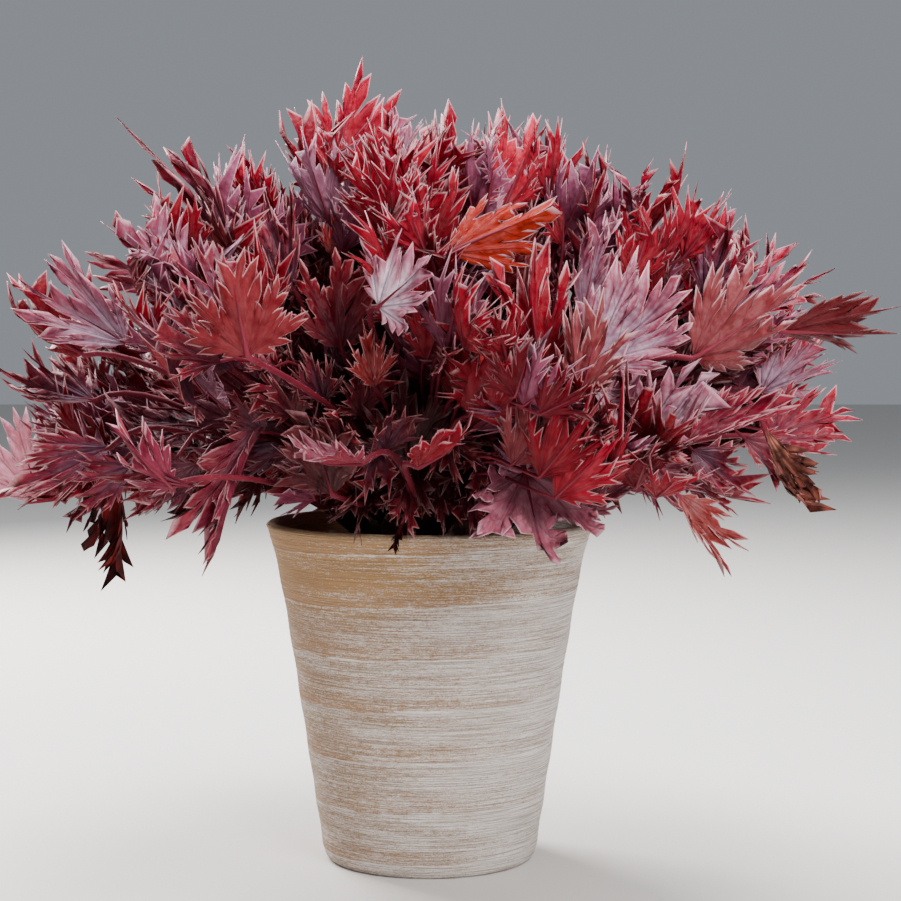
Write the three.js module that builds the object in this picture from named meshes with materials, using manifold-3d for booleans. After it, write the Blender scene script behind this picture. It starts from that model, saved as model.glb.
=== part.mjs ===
// Potted coral bells: six leafy crowns growing in the soil of a tall tapered terracotta pot.
// Millimetres, +Z up, the origin in the middle of the pot's underside, the shown front facing -Y.

import * as THREE from "three";
import { mergeVertices } from "three/addons/utils/BufferGeometryUtils.js";
import Module from "manifold-3d";

const wasm = await Module();
wasm.setup();

// Pot: a tapered shell whose wall flares a little more steeply just under the lip.
const POT_HEIGHT = 180;
const FOOT_RADIUS = 56.2;
const WALL_SLOPE = 0.148;
const LIP_FLARE = 3.7;
const FLARE_POWER = 8;
const FLARE_START = 150;
const WALL = 6;
const FLOOR = 9;
const FOOT_ROUND = 4;
const LIP_ROUND = 2;
const POT_SIDES = 36;
const DRAIN_HOLES = 3;
const DRAIN_RADIUS = 6;
const DRAIN_CIRCLE = 30;

// Soil: fills the pot to a little under the lip, and is heaped slightly in the middle.
const FIT_GAP = 0.3;
const SOIL_EDGE = 164;
const SOIL_MIDDLE = 168;

// Crowns: one in the middle and five round it, each standing in its own hole in the soil.
const OUTER_ROSETTES = 5;
const FRONT_TURN = -90;
const CROWN_CIRCLE = 34;
const CROWN_RADIUS = 8.5;
const CROWN_FOOT = 146;
const CROWN_TOP = 181;
const CROWN_SIDES = 8;
const HOLE_SIDES = 12;

// Mound: the leaf tips lie on a half ellipsoid, which carries on a little below its widest level.
const MOUND_LEVEL = 240;
const MOUND_REACH = 232;
const MOUND_RISE = 166;
const MOUND_DROP = 95;
const LOWEST_LEAF = -24;
const HIGHEST_OUTER_LEAF = 60;
const CENTRE_REACH = 92;
const OUTER_DEPTH = 0.4;
const CENTRE_DEPTH = 0.3;
const WEDGE_MARGIN = 5;
const BUDS = 90;
const ROOM = 38;
const GOLDEN = 0.618034;

// Cells: each rosette keeps to its own wedge or pyramid, so that no leaf grows through another rosette's.
const CELL_GAP = 1.8;
const CELL_CORE = 13;
const CELL_CORE_LEVEL = 180;
const CELL_OPENING = 0.36;
const BEND_BAND = 12;

// Whatever is nearer than this radius keeps above these levels, clear of the soil and the pot's lip.
const CLEAR_RADIUS = 92;
const CLEAR_LEVEL = 185;
const INNER_LEVEL = 174;
const RAMP_START = 48;
const RAMP_END = 62;
const LIFT_BAND = 4;

// Leaves of the mound: the usual value and how far a draw sways it, in millimetres and degrees.
const LENGTH = { usual: 62, sway: 9 };
const SPREAD = { usual: 0.85, sway: 0.22 };
const FOLD = { usual: 18, sway: 10 };
const ARCH = { usual: 4, sway: 24 };
const SLOPE = { level: 20, top: 86, droop: 1.6, sway: 18 };
const TURN_SWAY = 24;
const ROLL_SWAY = 70;
const LOBE_SWAY = 0.1;

// Blades and petioles.
const BLADE_THICKNESS = 0.8;
const PETIOLE_RADIUS = 1.35;
const PETIOLE_STEPS = 4;
const PLEAT = 0.1;
const CUT_DEPTH = 0.52;
const VEIN_FORK = 0.54;
const FIRST_PLACED = 1000;

// How a petiole leaves its crown: how far out and how high, and how steeply, by the height of its blade.
const ROOT = { out: 0.55, drop: 10, rise: 7, low: 0.2, climb: 150, lean: 0.6 };
const HANDLES = { crown: 0.36, blade: 0.18 };

// The edge of a lobe from the cut beside it to its tip, along the lobe's vein and out from it.
const TOOTHED = [
  { along: 0.73, out: 0.17 },
  { along: 0.68, out: 0.085 },
];
const SHOULDERED = [{ along: 0.6, out: 0.17 }];

// The five lobes from right to left, each with its turn from the midrib in degrees and its reach.
const LOBES = [
  { turn: -57, reach: 0.64, right: SHOULDERED, left: [] },
  { turn: -30, reach: 0.88, right: TOOTHED, left: [] },
  { turn: 0, reach: 1, right: TOOTHED, left: TOOTHED },
  { turn: 30, reach: 0.88, right: [], left: TOOTHED },
  { turn: 57, reach: 0.64, right: [], left: SHOULDERED },
];
const MIDDLE_LOBE = 2;

// What each draw decides.
const DRAWS = { turn: 1, slope: 2, roll: 3, length: 4, spread: 5, fold: 6, arch: 7, depth: 8, start: 9, lobe: 20 };

// Leaves placed one by one, because they give the mound its outline and its front: where the blade's tip
// and base are, the side that its upper face turns to, how wide it spreads, how far it is folded along
// its midrib and how far it arches along it, both in degrees. A positive arch curls towards the upper face.
const PLACED_LEAVES = [
  { tip: [-39, -10, 424], base: [-49, -20, 358], face: [0.2, 1, 0], spread: 0.75, fold: 18, arch: -14 },
  { tip: [-12, 20, 405], base: [-24, 0, 348], face: [-0.5, -1, 0], spread: 0.7, fold: 24, arch: -20 },
  { tip: [13, 8, 402], base: [6, -2, 344], face: [0.1, 1, 0.2], spread: 0.68, fold: 14, arch: 10 },
  { tip: [58, -22, 396], base: [36, -46, 338], face: [-0.4, 1, 0.3], spread: 0.62, fold: 20, arch: 12 },
  { tip: [-88, -20, 387], base: [-50, -32, 342], face: [0.6, 0.8, 0.6], spread: 0.45, fold: 26, arch: -16 },
  { tip: [-6, -112, 362], base: [0, -88, 318], face: [0, 1, 0.3], spread: 1.05, fold: 10, arch: 14 },
  { tip: [66, -100, 341], base: [10, -118, 318], face: [0.2, -1, 0.5], spread: 0.7, fold: 16, arch: -12 },
  { tip: [-149, -30, 381], base: [-96, -68, 316], face: [-0.5, -0.6, 0.2], spread: 0.42, fold: 24, arch: 22 },
  { tip: [-112, 5, 369], base: [-98, -12, 318], face: [-0.2, -1, 0.3], spread: 0.8, fold: 10, arch: 0 },
  { tip: [-88, -190, 318], base: [-80, -176, 270], face: [0, 1, 0.2], spread: 1.12, fold: 12, arch: 10 },
  { tip: [12, -166, 318], base: [-22, -146, 292], face: [0.1, -0.6, 1], spread: 1, fold: 20, arch: -30 },
  { tip: [128, -150, 306], base: [76, -158, 266], face: [-0.2, -1, 0.6], spread: 0.95, fold: 10, arch: -8 },
  { tip: [182, -118, 306], base: [124, -136, 268], face: [-0.2, 1, 0.5], spread: 0.75, fold: 18, arch: 10 },
  { tip: [240, -40, 274], base: [178, -58, 280], face: [0, 0.7, 0.9], spread: 0.62, fold: 20, arch: -16 },
  { tip: [224, -24, 243], base: [175, -34, 224], face: [-0.2, -1, 0.5], spread: 0.8, fold: 14, arch: 10 },
  { tip: [178, -120, 247], base: [124, -118, 228], face: [-0.1, -0.7, 0.8], spread: 0.5, fold: 34, arch: -12 },
  { tip: [190, -62, 182], base: [168, -66, 232], face: [0.5, -1, 0], spread: 0.6, fold: 38, arch: 20 },
  { tip: [140, -130, 164], base: [118, -126, 204], face: [0.6, -0.8, 0.3], spread: 0.55, fold: 30, arch: -20 },
  { tip: [163, -66, 190], base: [126, -72, 206], face: [0.1, -0.8, 0.8], spread: 0.75, fold: 16, arch: -24 },
  { tip: [56, -152, 162], base: [46, -128, 214], face: [0, -1, 0.3], spread: 1.1, fold: 10, arch: -34 },
  { tip: [-66, -168, 222], base: [-30, -150, 220], face: [-0.2, -0.2, 1], spread: 1, fold: 24, arch: 10 },
  { tip: [26, -168, 238], base: [-4, -148, 218], face: [0.2, -0.2, 1], spread: 0.95, fold: 24, arch: 14 },
  { tip: [-106, -112, 163], base: [-78, -106, 236], face: [-0.8, -1, 0], spread: 0.42, fold: 46, arch: -24 },
  { tip: [-166, -14, 149], base: [-160, -34, 204], face: [-0.5, -1, 0], spread: 0.6, fold: 40, arch: 16 },
  { tip: [-216, -62, 190], base: [-160, -58, 222], face: [-0.1, -0.8, 0.7], spread: 0.6, fold: 20, arch: -14 },
  { tip: [-228, 34, 238], base: [-212, 24, 188], face: [0.2, -1, 0.2], spread: 0.9, fold: 12, arch: 14 },
  { tip: [-228, -30, 293], base: [-176, -40, 268], face: [0, 0.8, 0.7], spread: 0.66, fold: 18, arch: -18 },
  { tip: [-234, -6, 257], base: [-174, -20, 244], face: [0, -0.7, 0.9], spread: 0.6, fold: 22, arch: 12 },
  { tip: [-146, -178, 240], base: [-106, -164, 210], face: [0.3, 1, 0.7], spread: 0.95, fold: 14, arch: 16 },
  { tip: [44, -186, 321], base: [52, -166, 262], face: [0.2, 1, 0.2], spread: 0.7, fold: 18, arch: 12 },
  { tip: [80, -196, 298], base: [68, -178, 248], face: [-0.2, 1, 0.2], spread: 0.95, fold: 12, arch: 12 },
  { tip: [91, 20, 374], base: [84, 2, 320], face: [-0.2, -1, 0.2], spread: 0.55, fold: 20, arch: 8 },
  { tip: [119, -38, 358], base: [102, -54, 304], face: [-0.2, 1, 0.2], spread: 0.62, fold: 18, arch: 12 },
  { tip: [148, 14, 348], base: [124, -8, 300], face: [0, 1, 0.4], spread: 0.62, fold: 18, arch: -10 },
  { tip: [172, 66, 347], base: [138, 46, 304], face: [-0.3, -1, 0.4], spread: 0.6, fold: 20, arch: 8 },
  { tip: [205, 0, 325], base: [160, -30, 284], face: [-0.3, -0.8, 0.5], spread: 0.55, fold: 22, arch: 10 },
  { tip: [-84, -70, 354], base: [-68, -74, 302], face: [-0.3, -1, 0.3], spread: 0.7, fold: 18, arch: -16 },
  { tip: [-46, -108, 324], base: [-42, -98, 272], face: [0.2, -1, 0.3], spread: 0.85, fold: 16, arch: 14 },
  { tip: [-14, -112, 264], base: [-10, -96, 214], face: [0.1, -1, 0.4], spread: 0.9, fold: 16, arch: 12 },
  { tip: [88, -84, 340], base: [76, -84, 290], face: [0.3, -1, 0.2], spread: 0.7, fold: 20, arch: 16 },
  { tip: [-118, -116, 308], base: [-92, -110, 262], face: [-0.4, -1, 0.5], spread: 0.75, fold: 18, arch: -12 },
  { tip: [-178, 24, 341], base: [-134, 6, 300], face: [-0.4, -1, 0.4], spread: 0.6, fold: 20, arch: 12 },
  { tip: [-204, -60, 302], base: [-150, -70, 274], face: [-0.2, -0.8, 0.8], spread: 0.7, fold: 18, arch: -14 },
  { tip: [-62, -126, 250], base: [-46, -106, 202], face: [-0.4, -1, 0.4], spread: 0.75, fold: 20, arch: 12 },
  { tip: [98, -134, 230], base: [70, -112, 194], face: [0.2, -1, 0.6], spread: 0.7, fold: 20, arch: -12 },
];

const LOOKS = {
  terracotta: { color: 0xc9ae93, roughness: 0.92, metalness: 0 },
  soil: { color: 0x2e221b, roughness: 1, metalness: 0 },
  foliage: { color: 0x6d2233, roughness: 0.55, metalness: 0 },
};

const radians = (degrees) => (degrees * Math.PI) / 180;
const degrees = (angle) => (angle * 180) / Math.PI;
const mix = (from, to, share) => from + (to - from) * share;
const fraction = (value) => value - Math.floor(value);

// A repeatable draw from 0 to 1 for one purpose of one leaf, by the usual hash of a sine.
const draw = (leaf, purpose) => fraction(Math.sin(leaf * 12.9898 + purpose * 78.233) * 43758.5453);
// The same draw from -1 to 1.
const sway = (leaf, purpose) => 2 * draw(leaf, purpose) - 1;

// The unit vector that points along an azimuth and an elevation, in degrees.
function heading(azimuth, elevation) {
  const flat = Math.cos(radians(elevation));
  return new THREE.Vector3(
    flat * Math.cos(radians(azimuth)),
    flat * Math.sin(radians(azimuth)),
    Math.sin(radians(elevation)),
  );
}

const azimuthOf = (point) => degrees(Math.atan2(point.y, point.x));
const radiusOf = (point) => Math.hypot(point.x, point.y);
const rosetteTurn = (rosette) => FRONT_TURN + ((rosette - 1) * 360) / OUTER_ROSETTES;

function crownCentre(rosette) {
  if (rosette === 0) return new THREE.Vector3();
  return heading(rosetteTurn(rosette), 0).multiplyScalar(CROWN_CIRCLE);
}

// The angle from the middle of an outer rosette's wedge, from -180 to 180 degrees.
function offTurn(azimuth, rosette) {
  const off = azimuth - rosetteTurn(rosette);
  return off - 360 * Math.round(off / 360);
}

function nearestRosette(azimuth) {
  const outer = Array.from({ length: OUTER_ROSETTES }, (_, i) => i + 1);
  return outer.reduce((a, b) => (Math.abs(offTurn(azimuth, a)) <= Math.abs(offTurn(azimuth, b)) ? a : b));
}

// How far the middle rosette's pyramid reaches out at one height and one angle off a wedge's middle.
const coreRadius = (z, off) => (CELL_CORE + CELL_OPENING * (z - CELL_CORE_LEVEL)) / Math.cos(radians(off));

// The rosette in whose cell a point lies.
function rosetteAt(point) {
  const rosette = nearestRosette(azimuthOf(point));
  return radiusOf(point) < coreRadius(point.z, offTurn(azimuthOf(point), rosette)) ? 0 : rosette;
}

// Eases a value that comes near a limit so that it never passes it, and leaves it alone elsewhere.
function easeBelow(value, limit, band) {
  const start = limit - band;
  return value < start ? value : limit - band * Math.exp((start - value) / band);
}
const easeAbove = (value, limit, band) => -easeBelow(-value, -limit, band);

// Bends a point clear of the neighbouring rosettes' cells.
function keepInCell(point, rosette) {
  let turn = azimuthOf(point);
  let radius = radiusOf(point);
  if (rosette === 0) {
    const limit = coreRadius(point.z, offTurn(turn, nearestRosette(turn))) - CELL_GAP;
    radius = easeBelow(radius, limit, Math.min(BEND_BAND, limit / 2));
  } else {
    const off = offTurn(turn, rosette);
    const reach = Math.max(radius, CROWN_CIRCLE / 2);
    const half = 180 / OUTER_ROSETTES - degrees(Math.asin(CELL_GAP / reach));
    const band = Math.min(degrees(BEND_BAND / reach), half / 2);
    const kept = Math.sign(off) * easeBelow(Math.abs(off), half, band);
    turn = rosetteTurn(rosette) + kept;
    radius = easeAbove(radius, coreRadius(point.z, kept) + CELL_GAP / Math.cos(radians(kept)), BEND_BAND);
  }
  return heading(turn, 0).multiplyScalar(radius).setZ(point.z);
}

// Lifts a point clear of the soil and the pot's lip.
function clearPot(point) {
  if (radiusOf(point) > CLEAR_RADIUS) return point;
  const ramp = THREE.MathUtils.clamp((radiusOf(point) - RAMP_START) / (RAMP_END - RAMP_START), 0, 1);
  return point.clone().setZ(easeAbove(point.z, mix(INNER_LEVEL, CLEAR_LEVEL, ramp), LIFT_BAND));
}

// Where the leaf tips end in one direction from the middle of the mound.
function moundPoint(azimuth, elevation, reach) {
  const out = heading(azimuth, elevation).multiplyScalar(reach);
  const height = elevation > 0 ? MOUND_RISE : MOUND_DROP;
  return new THREE.Vector3(out.x * MOUND_REACH, out.y * MOUND_REACH, MOUND_LEVEL + out.z * height);
}

// A leaf of the mound: its blade points outwards and up, more steeply the higher it stands.
function moundLeaf(number, azimuth, elevation, reach) {
  const swayed = (range, purpose) => range.usual + range.sway * sway(number, purpose);
  const steady = elevation > 0 ? mix(SLOPE.level, SLOPE.top, elevation / 90) : SLOPE.level + SLOPE.droop * elevation;
  const slope = steady + SLOPE.sway * sway(number, DRAWS.slope);
  const along = heading(azimuth + TURN_SWAY * sway(number, DRAWS.turn), slope);
  const level = new THREE.Vector3(-along.y, along.x, 0).normalize();
  const roll = radians(ROLL_SWAY * sway(number, DRAWS.roll));
  const upward = along.clone().cross(level);
  const tip = moundPoint(azimuth, elevation, reach);
  return {
    number,
    tip,
    base: tip.clone().addScaledVector(along, -swayed(LENGTH, DRAWS.length)),
    face: upward.multiplyScalar(Math.cos(roll)).addScaledVector(level, Math.sin(roll)),
    spread: swayed(SPREAD, DRAWS.spread),
    fold: swayed(FOLD, DRAWS.fold),
    arch: swayed(ARCH, DRAWS.arch),
  };
}

// A bud of an outer rosette opens somewhere in its wedge of the mound.
function outerBud(rosette, bud) {
  const number = rosette * 100 + bud;
  const low = Math.sin(radians(LOWEST_LEAF));
  const high = Math.sin(radians(HIGHEST_OUTER_LEAF));
  const climb = fraction(bud * GOLDEN * GOLDEN + draw(rosette, DRAWS.start));
  const turn = (180 / OUTER_ROSETTES - WEDGE_MARGIN) * (2 * fraction(bud * GOLDEN) - 1);
  const reach = 1 - OUTER_DEPTH * draw(number, DRAWS.depth) ** 2;
  return moundLeaf(number, rosetteTurn(rosette) + turn, degrees(Math.asin(mix(low, high, climb))), reach);
}

// A bud of the middle rosette opens on the spiral in which leaves grow on a crown.
function centreBud(bud) {
  const out = (CENTRE_REACH * Math.sqrt(fraction((bud + 0.5) * GOLDEN))) / MOUND_REACH;
  const turn = FRONT_TURN + 360 * bud * GOLDEN * GOLDEN;
  return moundLeaf(bud, turn, degrees(Math.acos(out)), 1 - CENTRE_DEPTH * draw(bud, DRAWS.depth));
}

const placedLeaves = PLACED_LEAVES.map((leaf, i) => ({
  ...leaf,
  number: FIRST_PLACED + i,
  tip: new THREE.Vector3(...leaf.tip),
  base: new THREE.Vector3(...leaf.base),
  face: new THREE.Vector3(...leaf.face),
}));

const middleOf = (leaf) => leaf.tip.clone().lerp(leaf.base, 0.5);

// The leaves of one rosette: those placed one by one, and as many of the buds as find room.
function leavesOf(rosette) {
  const leaves = placedLeaves.filter((leaf) => rosetteAt(middleOf(leaf)) === rosette);
  const neighbours = [...placedLeaves];
  for (let bud = 0; bud < BUDS; bud += 1) {
    const leaf = rosette === 0 ? centreBud(bud) : outerBud(rosette, bud);
    const middle = middleOf(leaf);
    const hasRoom = neighbours.every((other) => middleOf(other).distanceTo(middle) > ROOM);
    if (hasRoom && rosetteAt(middle) === rosette) {
      leaves.push(leaf);
      neighbours.push(leaf);
    }
  }
  return leaves;
}

// The frame of a blade: x along the midrib as it leaves the petiole, z out of the upper face. The arch is
// an arc of a circle that carries the midrib from the base to the tip.
function bladeFrame(leaf) {
  const chord = leaf.tip.clone().sub(leaf.base);
  const straight = chord.length();
  const half = radians(leaf.arch || 0.01) / 2;
  chord.normalize();
  const face = leaf.face.clone().addScaledVector(chord, -leaf.face.dot(chord)).normalize();
  const x = chord.clone().multiplyScalar(Math.cos(half)).addScaledVector(face, -Math.sin(half));
  const z = face.clone().multiplyScalar(Math.cos(half)).addScaledVector(chord, Math.sin(half));
  return { x, y: z.clone().cross(x), z, length: (straight * half) / Math.sin(half), bend: 2 * half };
}

// A point of the blade's middle surface from its place in the flat leaf, in blade lengths: the halves are
// folded up along the midrib, the web between two lobes is pleated up, and the whole is arched.
function bladePoint(leaf, frame, along, across) {
  const turn = degrees(Math.atan2(across, along)) / leaf.spread;
  const veins = LOBES.map((lobe) => Math.abs(turn - lobe.turn)).sort((a, b) => a - b);
  const web = Math.min((2 * veins[0]) / (veins[0] + veins[1]), 1);
  const fold = radians(leaf.fold);
  const side = across * Math.cos(fold);
  const rise = Math.abs(across) * Math.sin(fold) + PLEAT * web * web * Math.hypot(along, across);
  const angle = frame.bend * along;
  const run = Math.sin(angle) / frame.bend - rise * Math.sin(angle);
  const lift = (1 - Math.cos(angle)) / frame.bend + rise * Math.cos(angle);
  return leaf.base
    .clone()
    .addScaledVector(frame.x, run * frame.length)
    .addScaledVector(frame.y, side * frame.length)
    .addScaledVector(frame.z, lift * frame.length);
}

// One cut leaf laid flat, in blade lengths: the outline runs from its base round the lobes, and each lobe
// is a fan of triangles round a point of its vein.
function flatLeaf(leaf) {
  const points = [[0, 0]];
  const faces = [];
  const outline = [0];
  const veins = [];
  const add = (turn, along, out) => {
    const angle = radians(turn * leaf.spread);
    const side = out * leaf.spread;
    points.push([
      along * Math.cos(angle) - side * Math.sin(angle),
      along * Math.sin(angle) + side * Math.cos(angle),
    ]);
    return points.length - 1;
  };
  let cut = 0;
  LOBES.forEach((lobe, i) => {
    const reach = i === MIDDLE_LOBE ? 1 : lobe.reach * (1 + LOBE_SWAY * sway(leaf.number, DRAWS.lobe + i));
    const vein = add(lobe.turn, VEIN_FORK * reach, 0);
    const next = LOBES[i + 1];
    const edge = [
      cut,
      ...lobe.right.map((p) => add(lobe.turn, p.along * reach, -p.out * reach)),
      add(lobe.turn, reach, 0),
      ...lobe.left.map((p) => add(lobe.turn, p.along * reach, p.out * reach)).reverse(),
      next ? add((lobe.turn + next.turn) / 2, (CUT_DEPTH * (lobe.reach + next.reach)) / 2, 0) : 0,
    ];
    edge.slice(1).forEach((corner, k) => faces.push([vein, edge[k], corner]));
    if (cut !== 0) faces.push([0, cut, vein]);
    cut = edge[edge.length - 1];
    if (cut !== 0) faces.push([0, vein, cut]);
    outline.push(...edge.slice(1));
    veins.push(vein);
  });
  outline.pop();
  return { points, outline, faces, midrib: veins[MIDDLE_LOBE] };
}

// The way of a petiole's middle line: it leaves the crown upwards and comes into the blade along its midrib.
function petioleRoute(leaf, frame, rosette) {
  const centre = crownCentre(rosette);
  const towards = leaf.base.clone().sub(centre).setZ(0).normalize();
  const climb = THREE.MathUtils.clamp((leaf.base.z - CROWN_TOP) / ROOT.climb, ROOT.low, 1);
  const start = centre.addScaledVector(towards, CROWN_RADIUS * ROOT.out);
  start.z = CROWN_TOP - ROOT.drop + ROOT.rise * climb;
  const leaving = towards.multiplyScalar(1 - ROOT.lean * climb).setZ(climb).normalize();
  const distance = start.distanceTo(leaf.base);
  const curve = new THREE.CubicBezierCurve3(
    start,
    start.clone().addScaledVector(leaving, distance * HANDLES.crown),
    leaf.base.clone().addScaledVector(frame.x, -distance * HANDLES.blade),
    leaf.base,
  );
  return curve.getPoints(PETIOLE_STEPS).map((p, i) => (i === 0 ? p : keepInCell(clearPot(p), rosette)));
}

// The three corners of the petiole's section at each step: right, left and keel. The section turns no more
// than the route does, and its upper side ends level with the blade.
function petioleRings(route, side) {
  const rings = [];
  const across = side.clone();
  for (let i = route.length - 1; i >= 0; i -= 1) {
    const after = route[Math.min(i + 1, route.length - 1)];
    const along = after.clone().sub(route[Math.max(i - 1, 0)]).normalize();
    across.addScaledVector(along, -across.dot(along)).normalize();
    const up = along.clone().cross(across);
    const ridge = route[i].clone().addScaledVector(up, BLADE_THICKNESS / 2);
    rings.unshift([
      ridge.clone().addScaledVector(across, -PETIOLE_RADIUS),
      ridge.clone().addScaledVector(across, PETIOLE_RADIUS),
      ridge.clone().addScaledVector(up, -2 * PETIOLE_RADIUS),
    ]);
  }
  return rings;
}

// How far each point of the blade's middle surface is from its upper face.
function halfThicknesses(middle, faces) {
  const normals = middle.map(() => new THREE.Vector3());
  faces.forEach((corners) => {
    const [a, b, c] = corners.map((corner) => middle[corner]);
    const normal = b.clone().sub(a).cross(c.clone().sub(a));
    corners.forEach((corner) => normals[corner].add(normal));
  });
  return normals.map((normal) => normal.setLength(BLADE_THICKNESS / 2));
}

// A leaf with its petiole as one body: the blade has an even thickness round its middle surface and the
// same triangles on both faces, and the petiole's last section takes the place of the blade's base.
function leafSolid(leaf, rosette) {
  const frame = bladeFrame(leaf);
  const flat = flatLeaf(leaf);
  const middle = flat.points.map(([x, y]) => keepInCell(clearPot(bladePoint(leaf, frame, x, y)), rosette));
  const thickness = halfThicknesses(middle, flat.faces);
  const upper = middle.map((p, i) => p.clone().add(thickness[i]));
  const lower = middle.map((p, i) => p.clone().sub(thickness[i]));
  const rings = petioleRings(petioleRoute(leaf, frame, rosette), frame.y);
  const under = middle.length;
  const stem = 2 * under;
  const last = stem + 3 * (rings.length - 1);
  const [right, left, keel] = [last, last + 1, last + 2];

  const sideOf = (face) => (face.some((corner) => flat.points[corner][1] < 0) ? right : left);
  const above = (face) => face.map((corner) => (corner === 0 ? sideOf(face) : corner));
  const below = (corner) => (corner === 0 ? keel : corner + under);
  const triangles = [[right, flat.midrib, left]];
  flat.faces.forEach((face) => triangles.push(above(face), face.map(below).reverse()));
  flat.outline.forEach((a, i) => {
    const b = flat.outline[(i + 1) % flat.outline.length];
    const [here, next] = [a === 0 ? right : a, b === 0 ? left : b];
    triangles.push([below(a), below(b), next], [below(a), next, here]);
  });
  for (let ring = stem; ring < last; ring += 3) {
    for (let corner = 0; corner < 3; corner += 1) {
      const [here, next] = [ring + corner, ring + ((corner + 1) % 3)];
      triangles.push([here, next + 3, next], [here, here + 3, next + 3]);
    }
  }
  triangles.push([stem, stem + 1, stem + 2]);
  return solidFrom([...upper, ...lower, ...rings.flat()], triangles);
}

// A closed solid from points and triangles.
function solidFrom(points, triangles) {
  return new wasm.Manifold(
    new wasm.Mesh({
      numProp: 3,
      vertProperties: new Float32Array(points.flatMap((p) => [p.x, p.y, p.z])),
      triVerts: new Uint32Array(triangles.flat()),
    }),
  );
}

function solidFromGeometry(geometry) {
  geometry.deleteAttribute("normal");
  geometry.deleteAttribute("uv");
  const merged = mergeVertices(geometry, 1e-3);
  return new wasm.Manifold(
    new wasm.Mesh({
      numProp: 3,
      vertProperties: merged.getAttribute("position").array,
      triVerts: new Uint32Array(merged.index.array),
    }),
  );
}

function geometryFromSolid(solid) {
  const mesh = solid.getMesh();
  const geometry = new THREE.BufferGeometry();
  geometry.setAttribute("position", new THREE.BufferAttribute(mesh.vertProperties, 3));
  geometry.setIndex(new THREE.BufferAttribute(mesh.triVerts, 1));
  geometry.computeVertexNormals();
  return geometry;
}

// A solid turned about the vertical line through one point, from its profile of radii and heights.
function turned(profile, sides, at = new THREE.Vector3()) {
  const points = profile.map(([radius, z]) => new THREE.Vector2(radius, z));
  const geometry = new THREE.LatheGeometry(points, sides).rotateX(Math.PI / 2);
  return solidFromGeometry(geometry.translate(at.x, at.y, 0));
}

function bored(radius, low, high, at) {
  return turned([[0, low], [radius, low], [radius, high], [0, high]], HOLE_SIDES, at);
}

function crownSolid(rosette) {
  const profile = [
    [0, CROWN_FOOT],
    [CROWN_RADIUS - 2.5, CROWN_FOOT],
    [CROWN_RADIUS, CROWN_FOOT + 8],
    [CROWN_RADIUS, CROWN_TOP - 9],
    [CROWN_RADIUS - 3, CROWN_TOP - 1],
    [0, CROWN_TOP],
  ];
  return turned(profile, CROWN_SIDES, crownCentre(rosette));
}

// The crown with all its leaves as one body.
function rosetteSolid(rosette) {
  const leaves = leavesOf(rosette).map((leaf) => leafSolid(leaf, rosette));
  const joined = wasm.Manifold.union([crownSolid(rosette), ...leaves]).simplify(0.02);
  return joined.decompose().sort((a, b) => b.volume() - a.volume())[0];
}

const outerRadius = (z) => FOOT_RADIUS + WALL_SLOPE * z + LIP_FLARE * (z / POT_HEIGHT) ** FLARE_POWER;

function potSolid() {
  const lip = outerRadius(POT_HEIGHT);
  const shoulder = POT_HEIGHT - LIP_ROUND;
  const shell = turned(
    [
      [0, 0],
      [FOOT_RADIUS - FOOT_ROUND, 0],
      [outerRadius(FOOT_ROUND), FOOT_ROUND],
      [outerRadius(FLARE_START), FLARE_START],
      [outerRadius(shoulder), shoulder],
      [lip - LIP_ROUND, POT_HEIGHT],
      [lip - WALL + LIP_ROUND, POT_HEIGHT],
      [outerRadius(FLARE_START) - WALL, FLARE_START],
      [outerRadius(FLOOR) - WALL, FLOOR + FOOT_ROUND],
      [outerRadius(FLOOR) - WALL - FOOT_ROUND, FLOOR],
      [0, FLOOR],
    ],
    POT_SIDES,
  );
  const drains = Array.from({ length: DRAIN_HOLES }, (_, i) => {
    const at = heading(-FRONT_TURN + (i * 360) / DRAIN_HOLES, 0).multiplyScalar(DRAIN_CIRCLE);
    return bored(DRAIN_RADIUS, -1, FLOOR + 1, at);
  });
  return shell.subtract(wasm.Manifold.union(drains));
}

// The soil keeps clear of the flats of the pot's many-sided wall.
function soilSolid() {
  const wall = (z) => (outerRadius(z) - WALL - FIT_GAP) * Math.cos(Math.PI / POT_SIDES);
  const foot = FLOOR + FIT_GAP;
  const body = turned(
    [
      [0, foot],
      [wall(FLOOR) - FOOT_ROUND - 1, foot],
      [wall(FLOOR) - 1, foot + FOOT_ROUND],
      [wall(FLARE_START), FLARE_START],
      [wall(SOIL_EDGE), SOIL_EDGE],
      [CROWN_CIRCLE, mix(SOIL_EDGE, SOIL_MIDDLE, 0.8)],
      [0, SOIL_MIDDLE],
    ],
    POT_SIDES,
  );
  const radius = (CROWN_RADIUS + FIT_GAP) / Math.cos(Math.PI / HOLE_SIDES);
  const holes = Array.from({ length: OUTER_ROSETTES + 1 }, (_, rosette) =>
    bored(radius, CROWN_FOOT - FIT_GAP, SOIL_MIDDLE + 1, crownCentre(rosette)),
  );
  return body.subtract(wasm.Manifold.union(holes));
}

function piece(name, solid, look) {
  const mesh = new THREE.Mesh(geometryFromSolid(solid), new THREE.MeshStandardMaterial(LOOKS[look]));
  mesh.name = name;
  return mesh;
}

const plant = new THREE.Group();
plant.add(piece("pot", potSolid(), "terracotta"));
plant.add(piece("potting_soil", soilSolid(), "soil"));
plant.add(piece("rosette_centre", rosetteSolid(0), "foliage"));
for (let rosette = 1; rosette <= OUTER_ROSETTES; rosette += 1) {
  plant.add(piece("rosette_" + rosette, rosetteSolid(rosette), "foliage"));
}

export default plant;
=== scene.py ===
"""Potted coral bells: every leaf, petiole and hair, the soil and the whitewashed pot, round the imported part.

Lengths here are millimetres and angles degrees, and they become metres where a mesh is made. The leaves
follow the same rule as the part's own source: the same crowns, cells, mound, draws and placed leaves.
"""

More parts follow.
